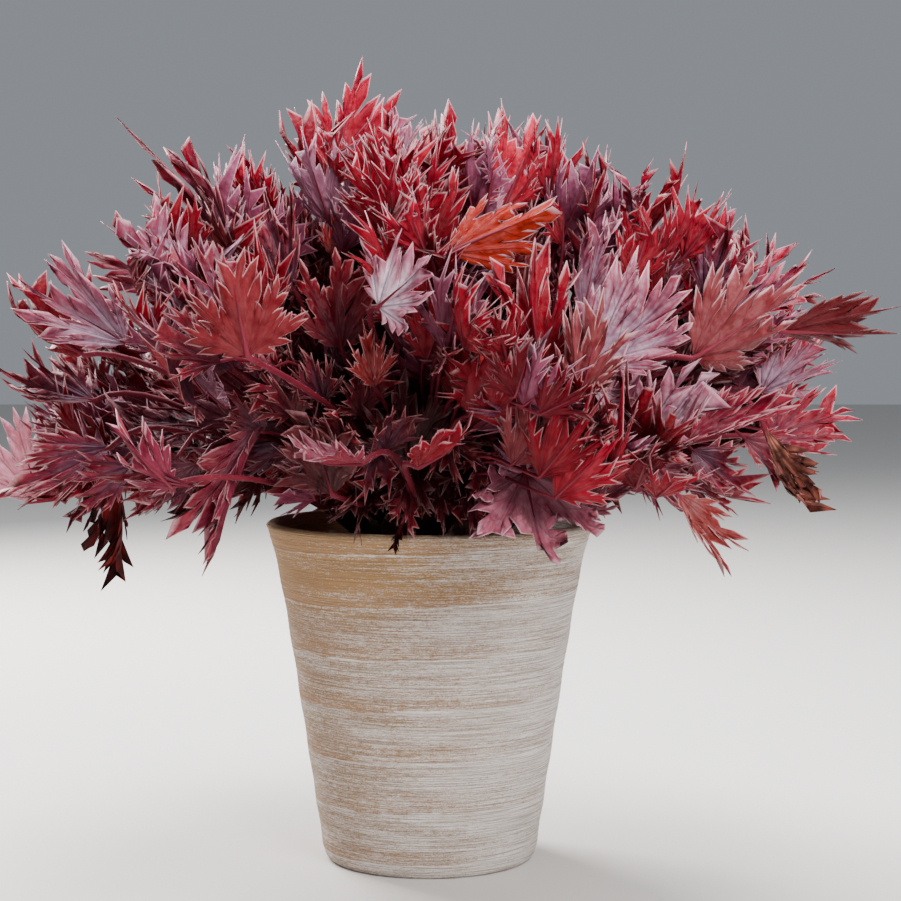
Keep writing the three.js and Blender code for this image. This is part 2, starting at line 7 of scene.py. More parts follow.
import bpy
import numpy as np
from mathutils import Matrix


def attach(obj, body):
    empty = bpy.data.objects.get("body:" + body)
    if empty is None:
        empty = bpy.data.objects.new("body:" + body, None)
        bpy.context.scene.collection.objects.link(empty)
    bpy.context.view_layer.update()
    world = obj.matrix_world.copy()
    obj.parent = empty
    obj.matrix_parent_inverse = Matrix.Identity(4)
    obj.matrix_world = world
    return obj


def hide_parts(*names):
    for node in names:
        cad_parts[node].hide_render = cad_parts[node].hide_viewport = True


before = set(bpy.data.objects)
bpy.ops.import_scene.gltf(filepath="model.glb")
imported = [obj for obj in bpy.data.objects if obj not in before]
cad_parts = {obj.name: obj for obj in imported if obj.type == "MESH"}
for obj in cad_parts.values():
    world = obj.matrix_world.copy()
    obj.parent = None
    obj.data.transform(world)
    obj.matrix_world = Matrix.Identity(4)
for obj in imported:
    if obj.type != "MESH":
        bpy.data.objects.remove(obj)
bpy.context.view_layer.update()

MM = 0.001
ROOT_BODY = "root"
# Each leaf and the pot carry a map of their surface in mm, and each leaf, petiole and hair a colour, with the
# mound's painted light and shade multiplied in.
SURFACE_MAP = "surface"
TINT = "tint"

# Pot and soil.
POT_HEIGHT = 180.0
FOOT_RADIUS = 56.2
WALL_SLOPE = 0.148
LIP_FLARE = 3.7
FLARE_POWER = 8
WALL = 6.0
LIP_ROUNDING = 3.2
LIP_START = 176
FLOOR = 9.0
FOOT_ROUNDING = 4.0
# The thrower left a ring every 27 mm and ridges every 3.4 mm. Towards its lip the pot is a little out of
# round, but not near its axis.
RING_SPACING, RING_DEPTH = 27.0, 0.22
RIDGE_SPACING, RIDGE_DEPTH = 3.4, 0.1
OUT_OF_ROUND = 0.35
TRUE_WITHIN = 40
# How far the rings and the ridges waver, in radians, and over what height.
RING_WAVER, RING_DRIFT, RING_DRIFT_HEIGHT = 0.6, 1.2, 31
RIDGE_WAVER, RIDGE_DRIFT_HEIGHT = 1.5, 20
WIDEST_TURN = 0.8
# How finely the pot is made: sides round it, and points along each part of its profile.
POT_SIDES = 144
UNDERSIDE_POINTS, FOOT_POINTS, OUTSIDE_POINTS, LIP_POINTS, INSIDE_POINTS, FLOOR_POINTS = 8, 5, 112, 7, 24, 6
# The rings run on into the lip over this many points of its rounding.
RINGS_INTO_LIP = 3
# The pot's map is laid out round this radius.
MAP_RADIUS = 70
# A profile starts and ends this near the axis, and its flat parts stop short of the wall by these.
MIDDLE = 0.01
UNDERSIDE_SHORT, FLOOR_SHORT = 5, 3
OUTSIDE_STARTS = (8, 9.5)
# In metres: the steps of the wash and the level of the highest one.
THROWN_STEP, TOP_STEP = 0.027, 0.14
DRAIN_HOLES = 3
DRAIN_RADIUS = 6.0
DRAIN_CIRCLE = 30.0
DRILL_SIDES = 32
SOIL_EDGE = 164.0
SOIL_MIDDLE = 168.0
FIT_GAP = 0.3
SOIL_CLEAR = 0.6
SOIL_FOOT_SHORT = 5
SOIL_LEVELS = (15, 60, 110, 150, 162)
SOIL_RINGS, SOIL_SIDES = 46, 150
# The soil's crumbs are waves so high, so many radians to the mm, and shifted so far in x and in y. They are
# a little closer in y.
CRUMBS = ((0.7, 0.45, 1, 2), (0.5, 1.1, 3, 0.5), (0.35, 2.3, 2, 5))
CRUMB_STRETCH = 1.1
CRUMB_SCATTER = 0.35
CRUMB_SEED = 7

# Crowns.
OUTER_ROSETTES = 5
FRONT_TURN = -90.0
CROWN_CIRCLE = 34.0
CROWN_RADIUS = 8.5
CROWN_TOP = 181.0
# The crown's profile, as radius and level, and the bumps round it and along it.
CROWN_PROFILE = np.array([
    (0.01, 146), (6.0, 146), (8.3, 154), (8.4, 166), (8.3, 172), (7.6, 177), (5.6, 180), (3.0, 180.8),
    (0.01, 181),
])
CROWN_SIDES = 24
CROWN_BUMPS, BUMP_WAVE, BUMP_HEIGHT = 7, 0.9, 0.05

# Mound: the leaf tips lie on a half ellipsoid, which carries on a little below its widest level.
MOUND_LEVEL = 240.0
MOUND_REACH = 232.0
MOUND_RISE = 166.0
MOUND_DROP = 95.0
LOWEST_LEAF = -24.0
HIGHEST_OUTER_LEAF = 60.0
CENTRE_REACH = 92.0
OUTER_DEPTH = 0.4
CENTRE_DEPTH = 0.3
WEDGE_MARGIN = 5.0
BUDS = 90
ROSETTE_STEP = 100
ROOM = 38.0
GOLDEN = 0.618034

# Smaller leaves fill the mound: young ones near its surface, and deep ones under them. Each crowd has its
# first number, buds, room, shares of the mound's reach and range of lengths.
CROWDS = {
    "young": {"first": 3000, "buds": 480, "room": 11.4, "reach": (0.68, 0.97), "length": (34.0, 56.0)},
    "deep": {"first": 6000, "buds": 300, "room": 13.5, "reach": (0.35, 0.72), "length": (28.0, 46.0)},
}
CROWD_STEP = 500
LOWEST_CROWD = -52.0
HIGHEST_CROWD = 70.0
CENTRE_CROWD = 32.0
CROWD_WEDGE = 35.0
LOW_REACH = 0.72
LOWEST_CROWD_BASE = 198.0
# Of the low leaves this share hangs down like a skirt, and the others rise.
HANGING_SHARE = 0.55
HANGING_DROOP = 1.1
RISING_DROOP = -0.7
# Painted shade: the leaves are painted darker the deeper they stand in the mound, where less light reaches
# them. From one share of the way out to another the painted shade goes from this to one.
SHADED, LIT = 0.42, 0.88
DEEP_SHADE = 0.3
# Painted light: the leaves on top are painted lighter and less red, so many times over in each colour, and
# those below the mound's widest level are painted a little darker, as shade. Each change starts at a level and
# is full so much higher or lower.
TOP_LIGHT = np.array([1.5, 1.8, 1.8])
TOP_FROM, TOP_BAND = 290, 110
UNDERNEATH_SHADE = 0.85
UNDERNEATH_BAND = 40
# The painted shade between the leaves is redder, as light that has passed through red leaves: each colour of
# it fades by its own power.
SHADE_REDDENING = np.array([0.82, 1.3, 1.1])
# The leaves placed one by one keep this much room clear of small leaves, round them and in front. So do
# the places low on the right where the petioles show, the upper half of the leaf that hangs on the left, and
# the tip of the silver leaf.
SHOWN_ROOM = 20.0
IN_FRONT = np.array([0.0, -22.0, 0.0])
KEPT_CLEAR = np.array([
    [112.0, -112.0, 212.0], [92.0, -128.0, 220.0], [132.0, -100.0, 214.0], [132.0, -140.0, 214.0],
    [-78.0, -114.0, 230.0], [-86.0, -118.0, 210.0], [-98.0, -114.0, 186.0], [-96.0, -158.0, 212.0],
    [10.0, -168.0, 316.0],
])

# How finely each size of leaf is made: the rings inside the line that its teeth grow from, whether its teeth
# are rounded, and how thick its petiole is, of how many stretches and sides, and how steeply it rises. The
# gap is how far it stays out of the neighbouring crowns' cells. That of the small leaves is less than
# nothing: they reach a little way in, so that no seam shows in the mound.
LEAF_SIZES = {
    "large": {"rings": (0.3, 0.6, 0.82), "rounded": True, "petiole": 1.0, "stretches": 12, "sides": 8,
              "rising": 0.2, "gap": 0.6},
    "young": {"rings": (0.6,), "rounded": False, "petiole": 0.65, "stretches": 8, "sides": 4, "rising": 0.65,
              "gap": -10.0},
    "deep": {"rings": (), "rounded": False, "petiole": 0.6, "stretches": 8, "sides": 3, "rising": 0.65,
             "gap": -10.0},
}

# Cells: each rosette keeps to its own wedge or pyramid.
CELL_CORE = 13.0
CELL_CORE_LEVEL = 180.0
CELL_OPENING = 0.36
BEND_BAND = 12.0

# Whatever is nearer than this radius keeps above these levels, clear of the soil and the pot's lip.
CLEAR_RADIUS = 92.0
CLEAR_LEVEL = 185.0
INNER_LEVEL = 174.0
RAMP_START = 48.0
RAMP_END = 62.0
LIFT_BAND = 4.0

# Leaves of the mound: the usual value and how far a draw sways it.
LENGTH = (62.0, 9.0)
SPREAD = (0.85, 0.22)
FOLD = (18.0, 10.0)
ARCH = (4.0, 24.0)
SLOPE_LEVEL, SLOPE_TOP, SLOPE_SWAY = 20.0, 86.0, 18.0
LARGE_DROOP = 1.6
TURN_SWAY = 24.0
ROLL_SWAY = 70.0
LOBE_SWAY = 0.15
LOBE_LEAN = 4.0
PLEAT = 0.1
# No leaf is quite flat, so that its arc always has a middle.
LEAST_ARCH = 0.01
FIRST_PLACED = 1000
FIRST_PLACED_YOUNG = 1500

# How a petiole leaves its crown and comes into its blade.
ROOT_OUT, ROOT_DROP, ROOT_RISE, ROOT_CLIMB, ROOT_LEAN = 0.55, 10.0, 7.0, 150.0, 0.6
CROWN_HANDLE, BLADE_HANDLE = 0.36, 0.18
SAG = 14.0
BOW = 0.1
# Once it has run one over this number of its way, a petiole keeps above the level that it may sag to.
RISEN = 5

# The draws follow a sine of so many radians for each leaf and each purpose, times the last number.
LEAF_TURNS, PURPOSE_TURNS, DRAW_MULTIPLE = 12.9898, 78.233, 43758.5453
# What each draw decides.
TURN, SLOPE, ROLL, LENGTHEN, WIDEN, FOLDING, ARCHING, DEPTH, START = range(1, 10)
RUFFLE, PHASE, TONE, SHADE, CRISP, SWIRL, RAGGED, HANGING = range(10, 18)
# These decide for each lobe, or each point of the outline, and so take up that many numbers more.
LOBE_LENGTH, LOBE_CURLING, LOBE_CREASE, LOBE_TEETH, LOBE_LEANING = 20, 25, 30, 35, 45
TOOTH, CURL, SWING = 60, 300, 340

# The lobes from right to left: each one's turn from the midrib and its reach.
LOBE_TURNS = np.array([-57.0, -30.0, 0.0, 30.0, 57.0])
LOBE_REACHES = np.array([0.64, 0.88, 1.0, 0.88, 0.64])

# The edge of a lobe from its tip to the cut beside it. Each point has its degrees off the lobe's vein and
# share of the lobe's reach, first on the outline and then on the line inside that the teeth grow from, and
# how much deeper it is cut in a ragged leaf. Every second point is the tip of a tooth.
LOBE_HALF = 15.0
LOBE_EDGE = [
    (0.0, 1.0, 0.0, 0.77, 0.0), (2.4, 0.77, 2.0, 0.69, 0.08), (9.0, 0.88, 4.4, 0.63, 0.0),
    (5.8, 0.6, 5.3, 0.54, 0.1), (14.2, 0.72, 8.6, 0.48, 0.0),
]
CUT = (15.0, 0.46, 15.0, 0.39, 0.12)
BASE_EDGE = [
    (0.0, 1.0, 0.0, 0.77, 0.0), (2.5, 0.76, 2.1, 0.68, 0.08), (9.5, 0.86, 5.0, 0.6, 0.0),
    (6.8, 0.52, 6.2, 0.46, 0.1), (17.0, 0.66, 10.0, 0.42, 0.0), (13.0, 0.32, 12.0, 0.28, 0.05),
    (27.0, 0.4, 17.0, 0.22, 0.0), (23.0, 0.12, 22.0, 0.1, 0.0),
]
BULGE = 0.08
TOOTH_SWAY = 0.15

# How the blade is crisped. The lobes curl and swing from one share of the way out, as shares of the blade's
# length at the tip of a leaf of common crispness. The teeth curl and swing by so many radians.
CRISP_FROM = 0.4
CRISP_SWAY = (0.6, 1.4)
CUPPED = 0.3
LOBE_CURL = 0.6
SLOW_SWING = 0.35
# The waves round the leaf that swing the lobes and ruffle the margin: each wave's count to the radian, how
# strong the second ruffle is, and how far the draws shift them.
SWING_WAVES, QUICK_RUFFLES, SLOW_RUFFLES = 9, 31, 14
SLOW_RUFFLE = 0.6
PHASES = 6.3
RUFFLES = (0.12, 0.34)
CREASE = (0.0, 0.4)
CREASED_FROM = 0.25
MOST_CREASED = 1.5
TOOTH_CURL = 1.3
MOST_CURL = 2
LEAST_CURL = 0.01
CURL_TOGETHER = 0.65
TOOTH_SWING = 0.35

BLADE_HALF_THICKNESS = 0.18
# The way that a blade faces is measured over this share of its length.
FACING_STEP = 0.01
# How far in from the leaf's edge a point lies counts up to this many mm. The line that the teeth grow from
# lies at least and at most so far in.
DEEPEST = 10.0
NEAR_EDGE = (0.9, 3.0)

# Each leaf is so much lighter or darker. Its upper face turns redder from one share of the way out, over
# another share, by a power, and no colour is brighter than the last value.
LEAF_SHADES = (0.7, 1.45)
REDDER_FROM, REDDER_BAND, REDDER_POWER = 0.4, 0.55, 1.3
BRIGHTEST = 0.9

# Petioles swell towards the crown by a power, and run on under the blade as its midrib, at these shares of
# its length, which starts at a share of their radius and thins to another.
PETIOLE_RADIUS = 1.45
SWELLING, SWELLING_POWER = 0.35, 4
RIB_PLACES = np.array([0.05, 0.14, 0.25, 0.38, 0.52])
RIB_START, RIB_END = 0.8, 0.22
MIDDLE_LOBE = np.full(len(RIB_PLACES), 2)

# Hairs on the large leaves: how many to a leaf, their range of lengths, how far they stray from straight
# out, and the first seed of their draws. All are equally wide, and rooted equally deep.
HAIRS = {
    "margin": {"count": 170, "length": (0.6, 1.3), "stray": 0.4, "seed": 0},
    "petiole": {"count": 70, "length": (0.9, 1.9), "stray": 0.35, "seed": 100},
}
HAIR_WIDTH = 0.13
HAIR_ROOT = 0.1
# The petioles are hairy from this stretch on, clear of the crown.
FIRST_HAIRY = 2

# The view of the photograph, in pixels, degrees and metres.
PHOTO_WIDTH = 901
FOCAL_LENGTH = 2200
SENSOR_WIDTH = 36.0
TIPPED_DOWN = 3.5
CAMERA_PLACE = (0.011, -1.165, 0.288)
# The floor reaches so far each way.
FLOOR_REACH = 6

# The light: where each lamp stands, its size in metres, its power in watts and its colour. All aim at the
# middle of the plant.
LAMPS = {
    "key": ((0.7, -1.35, 1.1), 0.8, 42, (1.0, 0.97, 0.95)),
    "sky": ((0.1, 0.2, 1.7), 1.2, 68, (0.94, 0.96, 1.0)),
    "rim": ((-0.8, 1.0, 1.0), 0.8, 75, (1.0, 0.96, 0.94)),
}
LAMPS_AIM = (0, 0, 0.25)
SKY_COLOUR = (0.86, 0.92, 1.0, 1.0)
SKY_STRENGTH = 0.3


def fraction(value):
    return value - np.floor(value)


def draw(leaf, purpose):
    """A repeatable draw from 0 to 1: the fraction of a large multiple of a sine of the two numbers."""
    return fraction(np.sin(leaf * LEAF_TURNS + purpose * PURPOSE_TURNS) * DRAW_MULTIPLE)


def sway(leaf, purpose):
    return 2 * draw(leaf, purpose) - 1


def mix(low, high, share):
    return low + (high - low) * share


def unit(vectors):
    return vectors / np.linalg.norm(vectors, axis=-1, keepdims=True)


def heading(azimuth, elevation):
    """Unit vectors along an azimuth and an elevation."""
    turn, rise = np.broadcast_arrays(np.radians(azimuth), np.radians(elevation))
    return np.stack([np.cos(rise) * np.cos(turn), np.cos(rise) * np.sin(turn), np.sin(rise)], axis=-1)


def azimuth_of(points):
    return np.degrees(np.arctan2(points[..., 1], points[..., 0]))


def radius_of(points):
    return np.hypot(points[..., 0], points[..., 1])


def rosette_turn(rosette):
    return FRONT_TURN + (rosette - 1) * 360 / OUTER_ROSETTES


def crown_centre(rosette):
    return np.zeros(3) if rosette == 0 else heading(rosette_turn(rosette), 0.0) * CROWN_CIRCLE


def off_turn(azimuth, rosette):
    """The angle from the middle of an outer rosette's wedge, from -180 to 180."""
    off = azimuth - rosette_turn(rosette)
    return off - 360 * np.round(off / 360)


def nearest_rosette(azimuth):
    offs = [np.abs(off_turn(azimuth, rosette)) for rosette in range(1, OUTER_ROSETTES + 1)]
    return np.argmin(offs, axis=0) + 1


def core_radius(z, off):
    """How far the middle rosette's pyramid reaches out at one height and angle off a wedge's middle."""
    return (CELL_CORE + CELL_OPENING * (z - CELL_CORE_LEVEL)) / np.cos(np.radians(off))


def rosette_at(points):
    rosette = nearest_rosette(azimuth_of(points))
    inside = radius_of(points) < core_radius(points[..., 2], off_turn(azimuth_of(points), rosette))
    return np.where(inside, 0, rosette)


def ease_below(value, limit, band):
    """Eases a value that comes near a limit, by an exponential, so that it never passes it."""
    start = limit - band
    return np.where(value < start, value, limit - band * np.exp((start - np.maximum(value, start)) / band))


def ease_above(value, limit, band):
    return -ease_below(-value, -limit, band)


def keep_in_cell(points, rosette, gap):
    """Bends points clear of the neighbouring rosettes' cells, or lets them a little way in where the gap is
    less than nothing."""
    turn = azimuth_of(points)
    radius = radius_of(points)
    z = points[..., 2]
    if rosette == 0:
        limit = core_radius(z, off_turn(turn, nearest_rosette(turn))) - gap
        radius = ease_below(radius, limit, np.minimum(BEND_BAND, limit / 2))
    else:
        off = off_turn(turn, rosette)
        reach = np.maximum(radius, CROWN_CIRCLE / 2)
        half = 180 / OUTER_ROSETTES - np.degrees(np.arcsin(gap / reach))
        band = np.minimum(np.degrees(BEND_BAND / reach), half / 2)
        kept = np.sign(off) * ease_below(np.abs(off), half, band)
        turn = rosette_turn(rosette) + kept
        core = core_radius(z, kept) + gap / np.cos(np.radians(kept))
        radius = ease_above(radius, core, BEND_BAND)
    flat = heading(turn, 0.0) * radius[..., None]
    return np.stack([flat[..., 0], flat[..., 1], z], axis=-1)


def clear_pot(points):
    """Lifts points clear of the soil and the pot's lip."""
    radius = radius_of(points)
    ramp = np.clip((radius - RAMP_START) / (RAMP_END - RAMP_START), 0, 1)
    lifted = ease_above(points[..., 2], mix(INNER_LEVEL, CLEAR_LEVEL, ramp), LIFT_BAND)
    z = np.where(radius > CLEAR_RADIUS, points[..., 2], lifted)
    return np.stack([points[..., 0], points[..., 1], z], axis=-1)


# Leaves placed one by one: tip, base, side that the upper face turns to, spread, fold, arch and colour.
PLACED_LEAVES = [
    ((-39, -10, 424), (-49, -20, 358), (0.2, 1, 0), 0.75, 18, -14, "plum"),
    ((-12, 20, 405), (-24, 0, 348), (-0.5, -1, 0), 0.7, 24, -20, "lilac"),
    ((13, 8, 402), (6, -2, 344), (0.1, 1, 0.2), 0.68, 14, 10, "wine"),
    ((58, -22, 396), (36, -46, 338), (-0.4, 1, 0.3), 0.62, 20, 12, "wine"),
    ((-88, -20, 387), (-50, -32, 342), (0.6, 0.8, 0.6), 0.45, 26, -16, "wine"),
    ((-6, -112, 362), (0, -88, 318), (0, 1, 0.3), 1.05, 10, 14, "wine"),
    ((66, -100, 341), (10, -118, 318), (-0.2, 1, -0.5), 0.6, 16, 12, "orange"),
    ((-149, -30, 381), (-96, -68, 316), (-0.5, -0.6, 0.2), 0.42, 24, 22, "plum"),
    ((-112, 5, 369), (-98, -12, 318), (-0.2, -1, 0.3), 0.8, 10, 0, "lilac"),
    ((-88, -190, 318), (-80, -176, 270), (0, 1, 0.2), 1.12, 12, 10, "rust"),
    ((12, -166, 318), (-22, -146, 292), (0.1, -1, 0.5), 1, 14, -24, "silver"),
    ((128, -150, 306), (76, -158, 266), (-0.2, -1, 0.6), 0.95, 10, -8, "lilac"),
    ((182, -118, 306), (124, -136, 268), (-0.2, 1, 0.5), 0.7, 18, 10, "rosewood"),
    ((240, -40, 274), (178, -58, 280), (0, 0.7, 0.9), 0.62, 20, -16, "rust"),
    ((224, -24, 243), (175, -34, 224), (-0.2, -1, 0.5), 0.8, 14, 10, "wine"),
    ((178, -120, 247), (124, -118, 228), (-0.1, -0.7, 0.8), 0.5, 34, -12, "magenta"),
    ((190, -62, 182), (168, -66, 232), (0.5, -1, 0), 0.42, 46, 20, "withered"),
    ((140, -130, 164), (118, -126, 204), (0.6, -0.8, 0.3), 0.55, 30, -20, "salmon"),
    ((163, -66, 190), (126, -72, 206), (0.1, -0.8, 0.8), 0.75, 16, -24, "wine"),
    ((56, -152, 162), (46, -128, 214), (0, -1, 0.3), 1.1, 10, -34, "crimped"),
    ((-66, -168, 222), (-30, -150, 220), (-0.2, -0.2, 1), 1, 24, 10, "mauve"),
    ((26, -168, 238), (-4, -148, 218), (0.2, -0.2, 1), 0.95, 24, 14, "plum"),
    ((-106, -112, 163), (-78, -106, 236), (-0.8, -1, 0), 0.42, 46, -24, "flushed"),
    ((-166, -14, 149), (-160, -34, 204), (-0.5, -1, 0), 0.6, 40, 16, "shrivelled"),
    ((-216, -62, 190), (-160, -58, 222), (-0.1, -0.8, 0.7), 0.6, 20, -14, "plum"),
    ((-228, 34, 238), (-212, 24, 188), (0.2, -1, 0.2), 0.9, 12, 14, "pink"),
    ((-228, -30, 293), (-176, -40, 268), (0, 0.8, 0.7), 0.66, 18, -18, "wine"),
    ((-234, -6, 257), (-174, -20, 244), (0, -0.7, 0.9), 0.6, 22, 12, "plum"),
    ((-146, -178, 240), (-106, -164, 210), (0.3, 1, 0.7), 0.95, 14, 16, "flushed"),
    ((44, -186, 321), (52, -166, 262), (0.2, 1, 0.2), 0.7, 18, 12, "wine"),
    ((80, -196, 298), (68, -178, 248), (-0.2, 1, 0.2), 0.6, 18, 12, "rosewood"),
    ((91, 20, 374), (84, 2, 320), (-0.2, -1, 0.2), 0.55, 20, 8, "lilac"),
    ((119, -38, 358), (102, -54, 304), (-0.2, 1, 0.2), 0.62, 18, 12, "wine"),
    ((148, 14, 348), (124, -8, 300), (0, 1, 0.4), 0.62, 18, -10, "wine"),
    ((172, 66, 347), (138, 46, 304), (-0.3, -1, 0.4), 0.6, 20, 8, "lilac"),
    ((205, 0, 325), (160, -30, 284), (-0.3, -0.8, 0.5), 0.55, 22, 10, "plum"),
    ((-84, -70, 354), (-68, -74, 302), (-0.3, -1, 0.3), 0.7, 18, -16, "plum"),
    ((-46, -108, 324), (-42, -98, 272), (0.2, -1, 0.3), 0.85, 16, 14, "wine"),
    ((-14, -112, 264), (-10, -96, 214), (0.1, -1, 0.4), 0.9, 16, 12, "maroon"),
    ((88, -84, 340), (76, -84, 290), (0.3, -1, 0.2), 0.7, 20, 16, "lilac"),
    ((-118, -116, 308), (-92, -110, 262), (-0.4, -1, 0.5), 0.75, 18, -12, "plum"),
    ((-178, 24, 341), (-134, 6, 300), (-0.4, -1, 0.4), 0.6, 20, 12, "plum"),
    ((-204, -60, 302), (-150, -70, 274), (-0.2, -0.8, 0.8), 0.7, 18, -14, "lilac"),
    ((-62, -126, 250), (-46, -106, 202), (-0.4, -1, 0.4), 0.75, 20, 12, "maroon"),
    ((98, -134, 230), (70, -112, 194), (0.2, -1, 0.6), 0.7, 20, -12, "mauve"),
]

# Smaller leaves placed one by one: a few painted scarlet, a painted glow of light shining through them, and
# those that hang round the mound's lower edge.
PLACED_YOUNG = [
    ((-47, -60, 343), (-49, -60, 318), (0.1, -1, 0.2), 0.8, 14, 8, "scarlet"),
    ((-33, -120, 286), (-25, -120, 254), (0.3, -1, 0), 0.7, 26, -20, "scarlet"),
    ((98, -165, 238), (74, -165, 257), (0.2, -1, 0.6), 0.5, 20, -12, "silver"),
    ((104, -148, 226), (88, -138, 244), (0.4, -1, 0.2), 0.6, 24, 14, "scarlet"),
    ((-205, -62, 190), (-168, -54, 216), (-0.2, -1, 0.6), 0.8, 20, -14, "wine"),
    ((-176, -84, 186), (-146, -76, 214), (-0.2, -1, 0.5), 0.8, 22, -16, "plum"),
    ((-148, -100, 190), (-122, -92, 220), (-0.3, -1, 0.4), 0.8, 20, 14, "wine"),
    ((-190, -20, 176), (-166, -24, 206), (-0.3, -1, 0.3), 0.8, 26, -16, "maroon"),
    ((-134, -104, 188), (-112, -96, 216), (-0.2, -1, 0.5), 0.8, 22, -14, "mauve"),
    ((-128, -80, 180), (-106, -74, 208), (-0.2, -1, 0.4), 0.8, 24, -16, "maroon"),
    ((-150, -74, 184), (-126, -66, 210), (-0.2, -1, 0.4), 0.8, 24, 16, "wine"),
    ((-96, -84, 184), (-82, -72, 210), (-0.3, -1, 0.4), 0.8, 24, -16, "maroon"),
    ((-36, -97, 178), (-30, -80, 202), (-0.2, -1, 0.3), 0.9, 24, -14, "maroon"),
    ((-8, -99, 177), (-10, -82, 204), (0, -1, 0.3), 0.9, 24, 14, "wine"),
    ((10, -99, 180), (4, -80, 206), (0, -1, 0.3), 0.9, 24, -14, "maroon"),
    ((26, -98, 177), (20, -80, 202), (0.1, -1, 0.3), 0.9, 24, 14, "plum"),
    ((42, -92, 178), (34, -78, 202), (0.2, -1, 0.3), 0.9, 24, -14, "maroon"),
    ((-30, -118, 196), (-24, -100, 226), (-0.1, -1, 0.3), 0.9, 24, -18, "plum"),
    ((14, -122, 204), (8, -102, 232), (0.1, -1, 0.4), 0.9, 24, 16, "wine"),
    ((-54, -116, 200), (-44, -98, 230), (-0.3, -1, 0.4), 0.9, 22, -14, "maroon"),
    ((88, -112, 192), (70, -96, 222), (0.3, -1, 0.4), 0.9, 22, -14, "wine"),
    ((128, -104, 186), (104, -94, 216), (0.3, -1, 0.4), 0.8, 22, 14, "mauve"),
    ((158, -92, 196), (130, -84, 222), (0.3, -1, 0.4), 0.8, 22, -14, "plum"),
    ((192, -54, 202), (160, -52, 226), (0.3, -1, 0.5), 0.8, 22, -14, "wine"),
    ((-19, -95, 170), (-12, -91, 188), (0.2, -1, 0.2), 0.16, 50, 10, "shrivelled"),
    ((-72, -92, 190), (-58, -82, 222), (-0.4, -1, 0.3), 0.95, 24, -16, "wine"),
    ((-2, -104, 187), (-6, -88, 218), (0, -1, 0.4), 0.95, 24, -18, "maroon"),
    ((10, -98, 190), (22, -84, 220), (0.2, -1, 0.3), 0.95, 20, 16, "maroon"),
    ((34, -102, 188), (30, -86, 222), (0.1, -1, 0.4), 0.95, 24, -16, "plum"),
    ((-24, -98, 204), (-36, -80, 232), (-0.1, -1, 0.3), 0.9, 24, 12, "maroon"),
    ((26, -112, 212), (14, -92, 240), (0.1, -1, 0.4), 0.9, 24, -14, "wine"),
    ((56, -94, 190), (50, -78, 220), (0.2, -1, 0.3), 0.9, 24, -14, "maroon"),
    ((-52, -84, 186), (-42, -66, 208), (-0.3, -1, 0.5), 0.9, 22, 14, "maroon"),
    ((-18, -88, 186), (-14, -68, 206), (0, -1, 0.5), 0.95, 22, -14, "wine"),
    ((18, -88, 186), (14, -68, 208), (0.1, -1, 0.5), 0.95, 22, 14, "maroon"),
    ((44, -84, 187), (36, -66, 208), (0.3, -1, 0.5), 0.9, 22, -14, "wine"),
    ((-58, -124, 278), (-50, -104, 248), (-0.2, -1, 0.4), 0.8, 22, -14, "plum"),
    ((-34, -128, 270), (-32, -106, 240), (0.2, -1, 0.3), 0.8, 22, 14, "wine"),
    ((-22, -136, 250), (-20, -112, 224), (0.3, -1, 0.3), 0.9, 24, -16, "plum"),
    ((-44, -136, 250), (-40, -112, 226), (-0.3, -1, 0.3), 0.9, 24, 14, "wine"),
    ((-76, -130, 266), (-64, -108, 240), (-0.3, -1, 0.4), 0.8, 22, -14, "wine"),
    ((-98, -122, 256), (-80, -104, 232), (-0.4, -1, 0.3), 0.8, 22, 14, "plum"),
]

# The colours of the leaves: the middle and the margin of the upper face, and the underside. The last
# number is how much the leaf's margin is crisped.
LEAF_COLOURS = {
    "plum": ("#643850", "#80001e", "#84001c", 1.2),
    "lilac": ("#a4849a", "#8a2440", "#844058", 1.0),
    "silver": ("#d4c0d0", "#a4405e", "#8c5c70", 1.5),
    "wine": ("#68082a", "#84001c", "#84001a", 1.2),
    "maroon": ("#3a0210", "#560010", "#620014", 1.4),
    "rust": ("#6c2424", "#6c1c20", "#6c1e24", 0.5),
    "rosewood": ("#7c4044", "#742a30", "#783438", 0.7),
    "flushed": ("#7c3450", "#9a2238", "#8a2a44", 1.1),
    "orange": ("#b4200c", "#bc200c", "#c0280c", 0.7),
    # Scarlet is a painted glow: light shining through a leaf, painted into its colour.
    "scarlet": ("#b00a10", "#b80a10", "#c00a10", 0.8),
    "magenta": ("#980a3a", "#a00a34", "#a40a38", 0.8),
    "salmon": ("#983430", "#9a2a28", "#a03834", 0.6),
    "mauve": ("#6e3a4a", "#742438", "#7c2438", 1.2),
    "crimped": ("#9c5a6c", "#b46478", "#a8606c", 2.6),
    "pink": ("#e8a4b6", "#e098aa", "#f0b4c4", 0.7),
    "shrivelled": ("#6c1014", "#2c0808", "#6c1214", 2.6),
    "withered": ("#8a5a4c", "#5a2c24", "#8a5a50", 2.6),
}
COLOUR_NAMES = list(LEAF_COLOURS)
# How often each colour comes up among the leaves that follow the rule, in shares of one.
COLOUR_SHARES = {
    "plum": 0.29, "wine": 0.3, "lilac": 0.19, "maroon": 0.1, "silver": 0.06, "mauve": 0.02,
    "rosewood": 0.03, "scarlet": 0.01,
}


